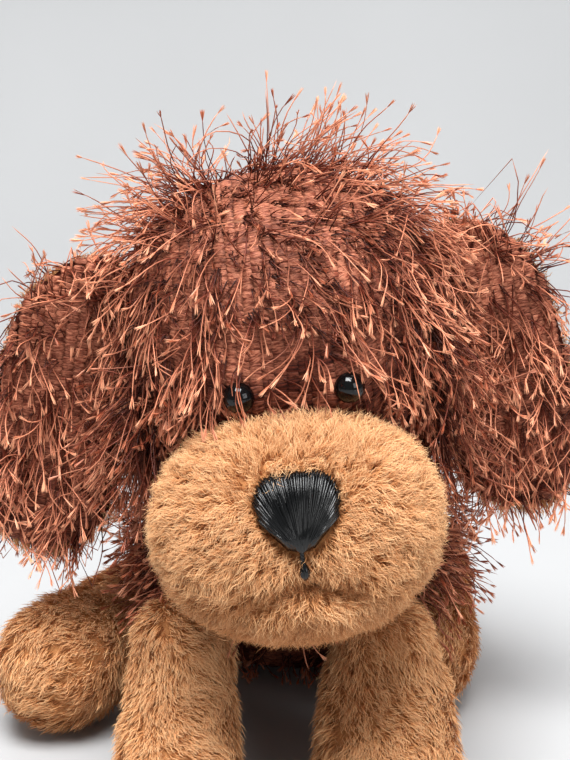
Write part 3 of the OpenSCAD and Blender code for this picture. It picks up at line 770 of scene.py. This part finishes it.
def stitches(name, centre, nrm, across, body, tone_and_painted_light, size=(5.3, 2.9, 0.5)):
    """Knitted loops, each a lens across its column whose ends dip between the loops of the next columns."""
    n, sides = len(centre), 6
    up = np.cross(nrm, across)
    turn = rng.normal(0, 0.09, n)
    across, up = turned(across, nrm, turn), turned(up, nrm, turn)
    long_at = np.array([-0.5, -0.3, 0.0, 0.3, 0.5])
    thick = np.array([0.0, 0.8, 1.0, 0.8, 0.0])
    dip = -0.5 * np.abs(2 * long_at) ** 3
    scale = rng.uniform(0.88, 1.14, n)
    mid = centre[:, None] + across[:, None] * (long_at * size[0])[None, :, None]
    mid = mid + nrm[:, None] * dip[None, :, None]
    sag = -0.35 * (2 * long_at) ** 2 * rng.uniform(-0.3, 1.0, n)[:, None]
    mid = mid + up[:, None] * sag[:, :, None]
    rows = []
    for s in range(sides):
        a = 2 * math.pi * s / sides
        rows.append(
            mid
            + up[:, None] * (thick * math.cos(a) * size[1] / 2)[None, :, None] * scale[:, None, None]
            + nrm[:, None] * (thick * math.sin(a) * size[2] / 2)[None, :, None] * scale[:, None, None]
        )
    rings = np.stack(rows, axis=2)[:, 1:-1]
    verts = np.concatenate([rings.reshape(n, -1, 3), mid[:, :1], mid[:, -1:]], axis=1)
    per = 3 * sides + 2
    patch = 0.16 * waves(centre, 16, 61)
    # The given shift of tone, with which the callers paint light and shade, and a random patch pick each
    # stitch's place between a dull and a bright copy of the yarn.
    low, high = tone_band(np.clip(0.4 + tone_and_painted_light + patch + rng.normal(0, 0.14, n), 0.02, 0.98))
    uv = np.empty((n, per, 2))
    around = low[:, None] + (high - low)[:, None] * np.arange(sides) / (sides - 1)
    uv[:, : 3 * sides, 0] = np.tile(around, (1, 3))
    uv[:, : 3 * sides, 1] = np.repeat([0.2, 0.5, 0.8], sides)
    uv[:, -2:, 0] = ((low + high) / 2)[:, None]
    uv[:, -2:, 1] = [0.005, 0.995]
    s = np.arange(sides)
    t = (s + 1) % sides
    quads = np.concatenate(
        [np.stack([r + s, r + sides + s, r + sides + t, r + t], axis=1) for r in (0, sides)]
    )
    tris = np.concatenate(
        [
            np.stack([s, t, np.full(sides, 3 * sides)], axis=1),
            np.stack([2 * sides + t, 2 * sides + s, np.full(sides, 3 * sides + 1)], axis=1),
        ]
    )
    base = (np.arange(n) * per)[:, None, None]
    mesh = make_mesh(
        name,
        verts.reshape(-1, 3),
        (quads[None] + base).reshape(-1, 4),
        (tris[None] + base).reshape(-1, 3),
        uv.reshape(-1, 2),
    )
    return add_object(name, mesh, STITCH, body)


# Fabric is kept below this height: a little over the top of the CAD box.
side_lengths = np.array(cad_box[1]) / MM - np.array(cad_box[0]) / MM
limit_high = cad_box[1][2] / MM + 0.03 * side_lengths[2] + 9.0

# Knit on the head.
WALE, COURSE = 3.6, 2.2
GUSSET = 12.6
# Reach of the head from its middle, sideways and round, and the least reach that gets a round of stitches.
HEAD_ASIDE, HEAD_ROUND, LEAST_ROUND = 50.0, 51.0, 14.0
# The torso's axis leans this far forward over its height, and the knit has this reach and top.
TORSO_FORWARD, TORSO_TALL = 34.0, 82.0
TORSO_ROUND, TORSO_KNIT_TOP = 42.0, 80.0


def head_stitches():
    form = forms["head"]
    mid = from_head(HEAD_MID[None])[0]
    found = []
    for k in range(-19, 20):
        s = k * WALE
        lat = s / HEAD_ASIDE
        r = HEAD_ROUND * math.cos(lat)
        if r < LEAST_ROUND:
            continue
        count = int(2 * math.pi * r / COURSE)
        shift = 0.5 * (k % 2) + rng.normal(0, 0.06)
        for j in range(count):
            phi = 2 * math.pi * (j + shift) / count
            d = np.array([math.sin(lat), -math.cos(lat) * math.cos(phi), math.cos(lat) * math.sin(phi)])
            found.append((d, k))
    out = []
    for d, k in found:
        co, no = form.hit(mid, head_dir(d))
        if co is not None:
            out.append((co, no, k))
    pts = np.array([o[0] for o in out])
    nrm = np.array([o[1] for o in out])
    wale = np.array([o[2] for o in out])
    x_axis = head_dir([1.0, 0.0, 0.0])
    across = unit(flat_to(np.broadcast_to(x_axis, nrm.shape), nrm))
    slant = np.where(np.abs(wale * WALE) < GUSSET, 0.0, 0.3 * np.sign(wale))
    slant = slant + 0.07 * np.where(wale % 2, 1, -1)
    across = turned(across, nrm, slant)
    keep = free_of(pts, "head", {"muzzle": 0.4, "neck": 0.5, "torso": 0.5, **ear_margins(0.3)})
    pts, nrm, across = pts[keep], nrm[keep], across[keep]
    height = (to_head(pts) - HEAD_MID)[:, 2]
    # Painted light and shade: the knit is brighter higher on the head and darker lower down.
    tone_and_painted_light = np.interp(height, [-40, -5, 20, 50], [-0.3, -0.1, 0.2, 0.42])
    stitches("head_knit", pts + nrm * 0.45, nrm, across, "head", tone_and_painted_light)


head_stitches()


def ear_stitches(side):
    name = f"{side}_ear_front"
    form = forms[name]
    lo, hi = form.low, form.high
    front = head_dir([0.0, -1.0, 0.0])
    pts, nrm = [], []
    sx = SIDES[side]
    splay = EAR_SPLAY[side] * sx
    down = head_dir([math.sin(splay), 0.0, -math.cos(splay)])
    across = head_dir([math.cos(splay), 0.0, math.sin(splay)])
    centre = (lo + hi) / 2
    for i in range(-8, 9):
        shift = 0.5 * (i % 2)
        for j in range(-42, 43):
            p = centre + across * (i * WALE) + down * ((j + shift) * COURSE) + front * 30
            co, no = form.hit(p, -front)
            if co is not None and no @ front > 0.35:
                pts.append(co)
                nrm.append(no)
    pts, nrm = np.array(pts), np.array(nrm)
    flat = unit(flat_to(np.broadcast_to(across, nrm.shape), nrm))
    # Painted light: the knit gets brighter towards the ear's top.
    tone_and_painted_light = np.interp(pts[:, 2], [lo[2], hi[2]], [-0.02, 0.36])
    stitches(f"{side}_ear_knit", pts + nrm * 0.4, nrm, flat, f"{side}_ear", tone_and_painted_light)


for side in SIDES:
    ear_stitches(side)


def torso_stitches():
    form = forms["torso"]
    pts, nrm = [], []
    for j in range(int(TORSO_KNIT_TOP / COURSE)):
        z = 2.0 + j * COURSE
        axis = np.array([0.0, -TORSO_FORWARD * z / TORSO_TALL, z])
        count = int(2 * math.pi * TORSO_ROUND / WALE)
        for i in range(count):
            a = 2 * math.pi * i / count
            co, no = form.hit(axis + UP * (0.5 * COURSE * (i % 2)), [math.cos(a), math.sin(a), 0.0])
            if co is not None:
                pts.append(co)
                nrm.append(no)
    pts, nrm = np.array(pts), np.array(nrm)
    across = unit(np.cross(UP, nrm))
    others = {"head": 1.0, "neck": 0.5, "muzzle": 1.0, "tail": 0.2, **leg_margins(0.2)}
    keep = free_of(pts, "torso", others) & (nrm[:, 2] > -0.75)
    pts, nrm, across = pts[keep], nrm[keep], across[keep]
    stitches("torso_knit", pts + nrm * 0.45, nrm, across, "torso", np.full(len(pts), -0.1))


torso_stitches()


# Yarn.
def head_yarn():
    pts, nrm = forms["head"].scatter(0.15)
    keep = free_of(pts, "head", {"muzzle": 0.6, "neck": 1.5, "torso": 2.0, **ear_margins(0.4)})
    for sx in (1, -1):
        eye = from_head(HEAD_MID[None] + np.array([[sx * EYE_PITCH / 2, -46.0, -EYE_DROP]]))[0]
        keep &= np.linalg.norm(pts - eye, axis=1) > 6.5
    q = to_head(pts) - HEAD_MID
    qn = nrm @ HEAD_ROT
    front = np.clip(-qn[:, 1], 0, 1) * np.clip(1 - np.abs(q[:, 0]) / 34.0, 0, 1)
    cheek = np.clip((14.0 - q[:, 2]) / 16.0, 0, 1) * np.clip((np.abs(q[:, 0]) - 30.0) / 8.0, 0, 1)
    nape = np.clip((-8.0 - q[:, 2]) / 14.0, 0, 1) * np.clip(qn[:, 1] + 0.3, 0, 1)
    bare = front * np.clip((q[:, 2] - 8.0) / 8.0, 0, 1)
    crown = np.clip((qn[:, 2] - 0.5) / 0.4, 0, 1)
    keep &= rng.random(len(pts)) < 0.34 - 0.1 * front - 0.16 * bare + 0.66 * np.maximum(cheek, nape)
    keep &= (crown < 0.3) | (np.abs(q[:, 0] + PARTING) > 3.0)
    pts, nrm, q, qn = pts[keep], nrm[keep], q[keep], qn[keep]
    cheek, nape, crown = cheek[keep], nape[keep], crown[keep]
    n = len(q)
    part = np.tanh((q[:, 0] + PARTING) / 8.0)
    tuft = crown * np.clip((q[:, 0] + PARTING) / 6.0, 0, 1)
    comb = np.stack(
        [0.55 * part + 0.35 * tuft - 0.1 * crown, np.full(n, -0.1), -0.95 + 1.15 * crown],
        axis=1,
    )
    comb = flat_to(comb @ HEAD_ROT.T, nrm) * 0.9
    comb += 0.22 * drift(pts, 22, 6)
    low_cheek = cheek * np.clip(-q[:, 2] / 20.0, 0, 1)
    length = np.clip(rng.normal(22, 5.0, n) + 4 * crown + 13 * np.maximum(low_cheek, nape), 11, 40)
    brow = (q[:, 1] < -15) & (np.abs(q[:, 0]) < 38)
    length = np.where(brow, np.minimum(length, np.maximum(9.0, q[:, 2] + 21.0)), length)
    lift = 0.5 + 0.45 * crown + 0.15 * cheek
    droop = 0.1 * (1 - 0.9 * crown) + rng.uniform(0, 0.07, n)
    # Painted shade: strands on the cheeks get a darker tone.
    shade = 0.66 - 0.56 * cheek
    for k, s in enumerate(shares(n, 3), 1):
        yarn(
            f"head_yarn_{k}",
            "head",
            pts[s],
            nrm[s],
            comb[s],
            length[s],
            lift[s],
            droop[s],
            "head",
            shade[s],
        )


def crown_roots():
    """Short dark strands that lie on the knit of the crown and the forehead."""
    pts, nrm = forms["head"].scatter(0.06)
    q = to_head(pts) - HEAD_MID
    keep = (q[:, 2] > 8) & (np.abs(q[:, 0]) < 40) & (q[:, 1] < 25)
    pts, nrm, q = pts[keep], nrm[keep], q[keep]
    n = len(pts)
    aside = 0.5 + 0.3 * np.tanh((q[:, 0] + PARTING) / 10.0)
    comb = np.stack([aside, np.full(n, -0.2), np.full(n, -0.8)], axis=1)
    comb = unit(flat_to(comb @ HEAD_ROT.T, nrm))
    length = rng.uniform(4.0, 9.0, n)
    yarn("crown_roots", "head", pts, nrm, comb, length, np.full(n, 0.3), np.full(n, 0.05), "head", 0.05, 0.1)


head_yarn()
crown_roots()


def ear_yarn(side):
    sx = SIDES[side]
    name = f"{side}_ear_front"
    pts, nrm = forms[name].scatter(0.16)
    front = head_dir([0.0, -1.0, 0.0])
    mid = (forms[name].low + forms[name].high) / 2
    top = np.clip((pts[:, 2] - mid[2] - 18.0) / 22.0, 0, 1)
    keep = (nrm @ front > -0.3) & free_of(pts, name, {"head": 0.3}) & (rng.random(len(pts)) < 0.3 + 0.7 * top)
    pts, nrm, top = pts[keep], nrm[keep], top[keep][:, None]
    n = len(pts)
    hang = np.broadcast_to(head_dir([0.2 * sx, -0.1, -0.8]), nrm.shape) * (1 - top)
    hang = hang + np.broadcast_to(head_dir([0.6 * sx, -0.1, 0.6]), nrm.shape) * top
    inner = np.clip(-((pts - mid) @ head_dir([sx, 0.0, 0.0]) + 8.0) / 10.0, 0, 1)[:, None]
    hang = hang + np.broadcast_to(head_dir([-0.7 * sx, 0.0, -0.2]), nrm.shape) * inner
    comb = flat_to(hang, nrm)
    comb = comb + 0.55 * drift(pts, 18, 3)
    length = np.clip(rng.normal(21, 4.5, n), 11, 30)
    for k, s in enumerate(shares(n, 2), 1):
        yarn(
            f"{side}_ear_yarn_{k}",
            name,
            pts[s],
            nrm[s],
            comb[s],
            length[s],
            0.6 - 0.15 * top[s, 0],
            rng.uniform(0.05, 0.2, n)[s] * (1 - 0.7 * top[s, 0]),
            f"{side}_ear",
            0.7,
        )


for side in SIDES:
    ear_yarn(side)


def torso_yarn():
    pts, nrm = forms["torso"].scatter(0.16)
    others = {"head": 2.0, "neck": 3.0, "muzzle": 2.0, "tail": 1.0, **leg_margins(1.0)}
    keep = free_of(pts, "torso", others) & (nrm[:, 2] > -0.6) & (pts[:, 2] > 4)
    shoulder = np.clip((np.abs(pts[:, 0]) - 24.0) / 8.0, 0, 1) * np.clip((pts[:, 2] - 34.0) / 12.0, 0, 1)
    collar = np.clip((pts[:, 2] - 60.0) / 8.0, 0, 1)
    keep &= rng.random(len(pts)) < 0.2 + 0.8 * np.maximum(shoulder, collar)
    pts, nrm, shoulder = pts[keep], nrm[keep], shoulder[keep]
    n = len(pts)
    comb = flat_to(np.broadcast_to(DOWN, nrm.shape), nrm) * 0.6
    comb = comb + 0.25 * drift(pts, 22, 13)
    high = shoulder * np.clip((pts[:, 2] - 48.0) / 14.0, 0, 1)
    aside = 0.9 * np.sign(pts[:, 0]) * shoulder
    comb = comb + np.stack([aside, 0 * shoulder, 0.1 * shoulder + 0.9 * high], axis=1)
    length = np.clip(rng.normal(18, 4, n) + 9 * shoulder, 10, 34)
    length = np.minimum(length, np.maximum(8, pts[:, 2] * 0.9))
    for k, s in enumerate(shares(n, 2), 1):
        droop = rng.uniform(0.05, 0.2, n)
        yarn(
            f"torso_yarn_{k}",
            "torso",
            pts[s],
            nrm[s],
            comb[s],
            length[s],
            np.full(n, 0.8)[s],
            droop[s],
            "torso",
            0.22,
        )


def neck_yarn():
    pts, nrm = forms["neck"].scatter(0.16)
    keep = free_of(pts, "neck", {"head": 2.5, "torso": 2.5})
    pts, nrm = pts[keep], nrm[keep]
    n = len(pts)
    comb = flat_to(np.broadcast_to(DOWN, nrm.shape), nrm)
    length = rng.uniform(7.0, 13.0, n)
    yarn("neck_yarn", "neck", pts, nrm, comb, length, np.full(n, 0.7), np.full(n, 0.1), "neck", 0.22)


torso_yarn()
neck_yarn()

# Plush pile.
NOSE_SEAT = np.array([0.0, -29.94, 15.0])
NOSE_TILT = math.radians(30.0)
NOSE_RISE = 2.5
NOSE_AT = from_head((MUZZLE_MID + NOSE_SEAT)[None])[0]
NOSE_HALF = np.array(
    [
        [0.0, -0.5],
        [0.16, -0.45],
        [0.34, -0.25],
        [0.46, 0.04],
        [0.48, 0.26],
        [0.4, 0.42],
        [0.24, 0.5],
        [0.08, 0.5],
    ]
)
NOSE_OUTLINE = np.concatenate([NOSE_HALF, NOSE_HALF[:0:-1] * [-1, 1]]) * [NOSE_W, NOSE_H]


def nose_edge(angle):
    """Distance from the nose's middle to its outline."""
    turns = np.unwrap(np.arctan2(NOSE_OUTLINE[:, 1], NOSE_OUTLINE[:, 0]))
    reach = np.linalg.norm(NOSE_OUTLINE, axis=1)
    angle = (angle - turns[0]) % (2 * math.pi) + turns[0]
    return np.interp(angle, np.append(turns, turns[0] + 2 * math.pi), np.append(reach, reach[0]))


def nose_share(pts):
    """Place of points in the nose's own plane: share of the way to its outline, and height."""
    local = to_head(pts) - MUZZLE_MID - NOSE_SEAT
    up = local[:, 1] * math.sin(NOSE_TILT) + local[:, 2] * math.cos(NOSE_TILT)
    share = np.hypot(local[:, 0], up) / nose_edge(np.arctan2(up, local[:, 0]))
    return np.where(local[:, 1] < 12, share, 9.0), up


def muzzle_pile():
    pts, nrm = forms["muzzle"].scatter(1.25)
    keep = free_of(pts, "muzzle", {"head": 0.2})
    off, fade = mouth_off(pts)
    keep &= (nose_share(pts)[0] > 0.9) & (rng.random(len(pts)) > fade * (np.abs(off) < 1.3))
    pts, nrm = pts[keep], nrm[keep]
    share, up = nose_share(pts)
    flow = flat_to(pts - NOSE_AT, nrm)
    flow = unit(flow) + 0.25 * flat_to(np.broadcast_to(DOWN, nrm.shape), nrm)
    over_nose = (up > 5.0) & (share < 1.25) & (waves(pts, 5, 25) > -0.1)
    flow = np.where(over_nose[:, None], -flow, flow)
    flow = turned(unit(flow), nrm, 0.55 * waves(pts, 14, 21) + 0.4 * waves(pts, 6, 22))
    off, fade = mouth_off(pts)
    near = np.exp(-((off / 2.6) ** 2)) * fade
    length = 5.2 * (1 - 0.55 * near) * (1 + 0.12 * waves(pts, 9, 23)) * np.where(over_nose, 1.3, 1.0)
    # Painted shade: the pile is darker near the mouth's crease.
    tone = np.clip(0.62 + 0.1 * waves(pts, 7, 24) + rng.normal(0, 0.15, len(pts)) - 0.6 * near, 0.02, 0.98)
    # Painted shade: pile that faces down under the muzzle is darker.
    tone = np.clip(tone - 0.9 * np.clip(-nrm[:, 2] - 0.1, 0, 1), 0.02, 0.98)
    for k, s in enumerate(shares(len(pts), 4), 1):
        pile(
            f"muzzle_pile_{k}",
            pts[s],
            nrm[s],
            flow[s],
            length[s],
            "head",
            tone[s],
            spread=0.9,
            steps=5,
            crinkle=0.75,
            gather=0.4,
            lock=4.0,
        )


muzzle_pile()


def limb_pile(name, flow_to, length, density=0.6, margins=None, seed=31, far=None):
    pts, nrm = forms[name].scatter(density)
    keep = free_of(pts, name, margins or {}) & (pts[:, 2] > 1.2)
    pts, nrm = pts[keep], nrm[keep]
    flow = flat_to(flow_to(pts, nrm), nrm)
    weak = np.linalg.norm(flow, axis=1, keepdims=True) < 0.15
    flow = np.where(weak, flat_to(np.broadcast_to([0.3, -1.0, 0.2], nrm.shape), nrm), flow)
    flow = turned(unit(flow), nrm, 0.3 * waves(pts, 16, seed) + 0.35 * waves(pts, 6, seed + 1))
    streak = waves(pts * np.array([1.0, 1.0, 0.25]), 5, seed + 2)
    # Painted light: pile that faces up is brighter; the streaks are the plush's own tone.
    tone = 0.56 + 0.22 * np.clip(nrm[:, 2], 0, 1) + 0.1 * streak + rng.normal(0, 0.1, len(pts))
    tone = np.clip(tone, 0.02, 0.98)
    size = length * (1 + 0.15 * waves(pts, 9, seed + 3))
    if far is not None:
        size = size * far(pts)
    pile(
        f"{name}_pile",
        pts,
        nrm,
        flow,
        size,
        name_body(name),
        tone,
        per_clump=6,
        spread=2.0,
        crinkle=0.45,
        start=0.7,
        end=1.42,
        width=0.28,
        steps=4,
        gather=0.35,
        lock=5.0,
    )


def name_body(name):
    return name.replace("_back", "")


LEG_SEAM = {"left": 37.5, "right": -25.0}


def to_seam(pts, seam):
    """Pile of a front leg: down it, and from both sides towards the seam on its front."""
    away = pts[:, 0] - seam
    lean = -1.1 * np.tanh(away / 4.0) * np.exp(-((away / 16.0) ** 2))
    return np.stack([lean, np.full(len(pts), -0.25), np.full(len(pts), -1.0)], axis=1)


for k, side in enumerate(SIDES):
    sx = SIDES[side]
    limb_pile(
        f"{side}_front_leg",
        lambda p, n, x=LEG_SEAM[side]: to_seam(p, x),
        5.0,
        margins={"torso": 0.3, "muzzle": 0.2},
        seed=31 + 10 * k,
    )
    turn = math.radians(98 if side == "left" else 53)
    ahead = np.array([sx * math.cos(turn), -math.sin(turn), -0.25])
    limb_pile(
        f"{side}_hind_leg",
        lambda p, n, a=ahead: np.broadcast_to(a, n.shape),
        5.2,
        density=0.45,
        margins={"torso": 0.3, "left_front_leg": 0.2, "right_front_leg": 0.2},
        seed=51 + 10 * k,
    )
    limb_pile(
        f"{side}_ear_back",
        lambda p, n: unit(p - p.mean(0)) * 0.8 + np.array([0.0, 0.0, -0.5]),
        5.6,
        density=0.55,
        margins={"head": 0.5, f"{side}_ear_front": 0.05},
        seed=71 + 10 * k,
        far=lambda p: np.clip(0.5 - (p[:, 2] - p[:, 2].mean()) / 60.0, 0.4, 1.0),
    )
limb_pile(
    "tail",
    lambda p, n: np.broadcast_to([0.0, 0.8, 0.3], n.shape),
    5.5,
    margins={"torso": 0.3},
    seed=91,
)


# Nose, mouth and eyes.
def nose_point(x, y, z):
    """A point of the nose, sideways, upward and out of its own plane."""
    c, s = math.cos(NOSE_TILT), math.sin(NOSE_TILT)
    local = np.stack([x, y * s - z * c, y * c + z * s], axis=-1)
    return from_head(MUZZLE_MID + NOSE_SEAT + local)


def nose_threads():
    """Satin stitch: threads that fan from the nose's lower point over a dome to its upper edge."""

    def dome(x, y):
        share = np.hypot(x, y) / nose_edge(np.arctan2(y, x))
        at = [0, 0.28, 0.58, 0.86, 1.0, 1.15]
        return NOSE_RISE * np.interp(share, at, [1, 0.96, 0.75, 0.3, -0.4, -1.6])

    count, steps = 58, 16
    t = np.linspace(0, 1, steps)
    paths = []
    for i in range(count):
        a = (i + 0.5) / count * 2 - 1
        ang = math.radians(90 - 100 * a) + rng.normal(0, 0.012)
        top = np.array([math.cos(ang), math.sin(ang)]) * nose_edge(ang) * rng.uniform(0.99, 1.05)
        foot = np.array([a * 2.6, -0.5 * NOSE_H + 0.4 + 2.2 * abs(a) ** 1.5])
        x = foot[0] + (top[0] - foot[0]) * t + 0.9 * a * np.sin(math.pi * t)
        y = foot[1] + (top[1] - foot[1]) * t
        z = dome(x, y) + 0.15 - 1.2 * np.clip(np.abs(2 * t - 1) - 0.86, 0, 1) / 0.14 + rng.normal(0, 0.05)
        paths.append(nose_point(x, y, z))
    made = tubes(np.array(paths), np.full(steps, 0.34), rng.uniform(0.05, 0.95, count), sides=7)
    ob = add_object("nose_satin", make_mesh("nose_satin", *made), THREAD, "head")
    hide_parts("nose")
    rings = []
    for share in (1.0, 0.97, 0.86, 0.58, 0.28, 0.02):
        p = NOSE_OUTLINE * share * 0.96
        z = dome(p[:, 0], p[:, 1]) - 0.25 - (3.0 if share == 1.0 else 0.0)
        rings.append(nose_point(p[:, 0], p[:, 1], z))
    n = len(NOSE_OUTLINE)
    verts = np.concatenate(rings)
    i = np.arange(n)
    j = (i + 1) % n
    quads = np.concatenate(
        [np.stack([k * n + i, k * n + j, (k + 1) * n + j, (k + 1) * n + i], axis=1) for k in range(5)]
    )
    uv = np.stack([np.tile(i / n, 6), np.repeat(np.linspace(0, 1, 6), n)], axis=1)
    add_object("nose_pad", make_mesh("nose_pad", verts, quads, None, uv), THREAD, "head")


nose_threads()


def mouth_thread():
    """Two stitches under the nose: a thin upright one and a thicker one that ends it."""
    t = np.linspace(0, 1, 12)
    paths, radii = [], []
    for k in range(3):
        a = t * 2 * math.pi * 1.3 + k * 2 * math.pi / 3
        p = MUZZLE_MID + np.stack([0.3 * np.cos(a), -33.2 + 0.9 * t + 0.3 * np.sin(a), 4.8 - 4.0 * t], axis=1)
        paths.append(from_head(p))
        radii.append(np.full(12, 0.4))
    for k in range(4):
        a = k * math.pi / 2 + 0.4
        bulge = np.sin(math.pi * t)
        p = MUZZLE_MID + np.stack(
            [
                0.3 + 0.7 * math.cos(a) * bulge,
                -33.4 + 0.5 * t - 0.6 * bulge + 0.5 * math.sin(a) * bulge,
                1.6 - 4.8 * t,
            ],
            axis=1,
        )
        paths.append(from_head(p))
        radii.append(0.4 + 0.35 * bulge)
    made = tubes(np.array(paths), np.array(radii), np.linspace(0.3, 0.7, 7), sides=7)
    ob = add_object("mouth_thread", make_mesh("mouth_thread", *made), THREAD, "head")
    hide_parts("mouth_stitch")


mouth_thread()

for side in SIDES:
    for cad, mat in ((f"{side}_eye", EYE), (f"{side}_eye_washer", WASHER)):
        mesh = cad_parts[cad].data
        mesh.materials.clear()
        mesh.materials.append(mat)
        mesh.polygons.foreach_set("use_smooth", np.ones(len(mesh.polygons), bool))


# Stage, light and camera.
def backdrop():
    """Pale floor that curves up into a pale wall."""
    rows = [(-1.5, 0.0)]
    rows += [(0.55 + 0.5 * math.sin(a), 0.5 - 0.5 * math.cos(a)) for a in np.linspace(0, math.pi / 2, 14)]
    rows += [(1.05, 2.6)]
    verts, faces = [], []
    for y, z in rows:
        verts += [(-2.5, y, z), (2.5, y, z)]
    for k in range(len(rows) - 1):
        faces.append((2 * k, 2 * k + 1, 2 * k + 3, 2 * k + 2))
    mesh = bpy.data.meshes.new("backdrop")
    mesh.from_pydata(verts, [], faces)
    mesh.polygons.foreach_set("use_smooth", np.ones(len(faces), bool))
    mat, tree, shader = nodes_of("paper")
    place = tree.nodes.new("ShaderNodeTexCoord")
    noise = node(tree, "ShaderNodeTexNoise", Scale=3.0, Detail=2.0)
    tree.links.new(place.outputs["Object"], noise.inputs["Vector"])
    tone = ramp(tree, [(0.3, srgb(180, 181, 182)), (0.7, srgb(184, 185, 186))], noise.outputs["Fac"])
    tree.links.new(tone.outputs["Color"], shader.inputs["Base Color"])
    shader.inputs["Roughness"].default_value = 0.85
    ob = add_object("backdrop", mesh, mat)


def lamp(name, place, aim, size, watts, tint=(1.0, 1.0, 1.0)):
    light = bpy.data.lights.new(name, "AREA")
    light.shape, light.size, light.size_y = "RECTANGLE", size[0], size[1]
    light.energy = watts
    light.color = tint
    ob = bpy.data.objects.new(name, light)
    ob.location = place
    ob.rotation_euler = (Vector(aim) - Vector(place)).to_track_quat("-Z", "Y").to_euler()
    scene.collection.objects.link(ob)


backdrop()
lamp("key", (-0.1, -0.5, 1.35), (0.0, -0.06, 0.1), (0.8, 0.6), 34.0)
lamp("fill", (0.9, -0.9, 0.6), (0.0, -0.05, 0.1), (0.7, 0.7), 5.0)
lamp("back", (0.0, 0.5, 1.6), (0.0, 0.1, 0.1), (1.4, 0.6), 9.0)

world = bpy.data.worlds.new("studio")
scene.world = world
world.use_nodes = True
world.node_tree.nodes["Background"].inputs["Color"].default_value = (0.95, 0.97, 1.0, 1.0)
world.node_tree.nodes["Background"].inputs["Strength"].default_value = 0.25

camera = bpy.data.cameras.new("camera")
camera.sensor_width = 36.0
camera.lens = 36.0 * 1255.0 / 760.0
camera.clip_start, camera.clip_end = 0.01, 20.0
camera_ob = bpy.data.objects.new("camera", camera)
camera_ob.location = (-0.004, -0.442, 0.224)
camera_ob.rotation_euler = (math.radians(75.0), 0.0, 0.0)
scene.collection.objects.link(camera_ob)
scene.camera = camera_ob
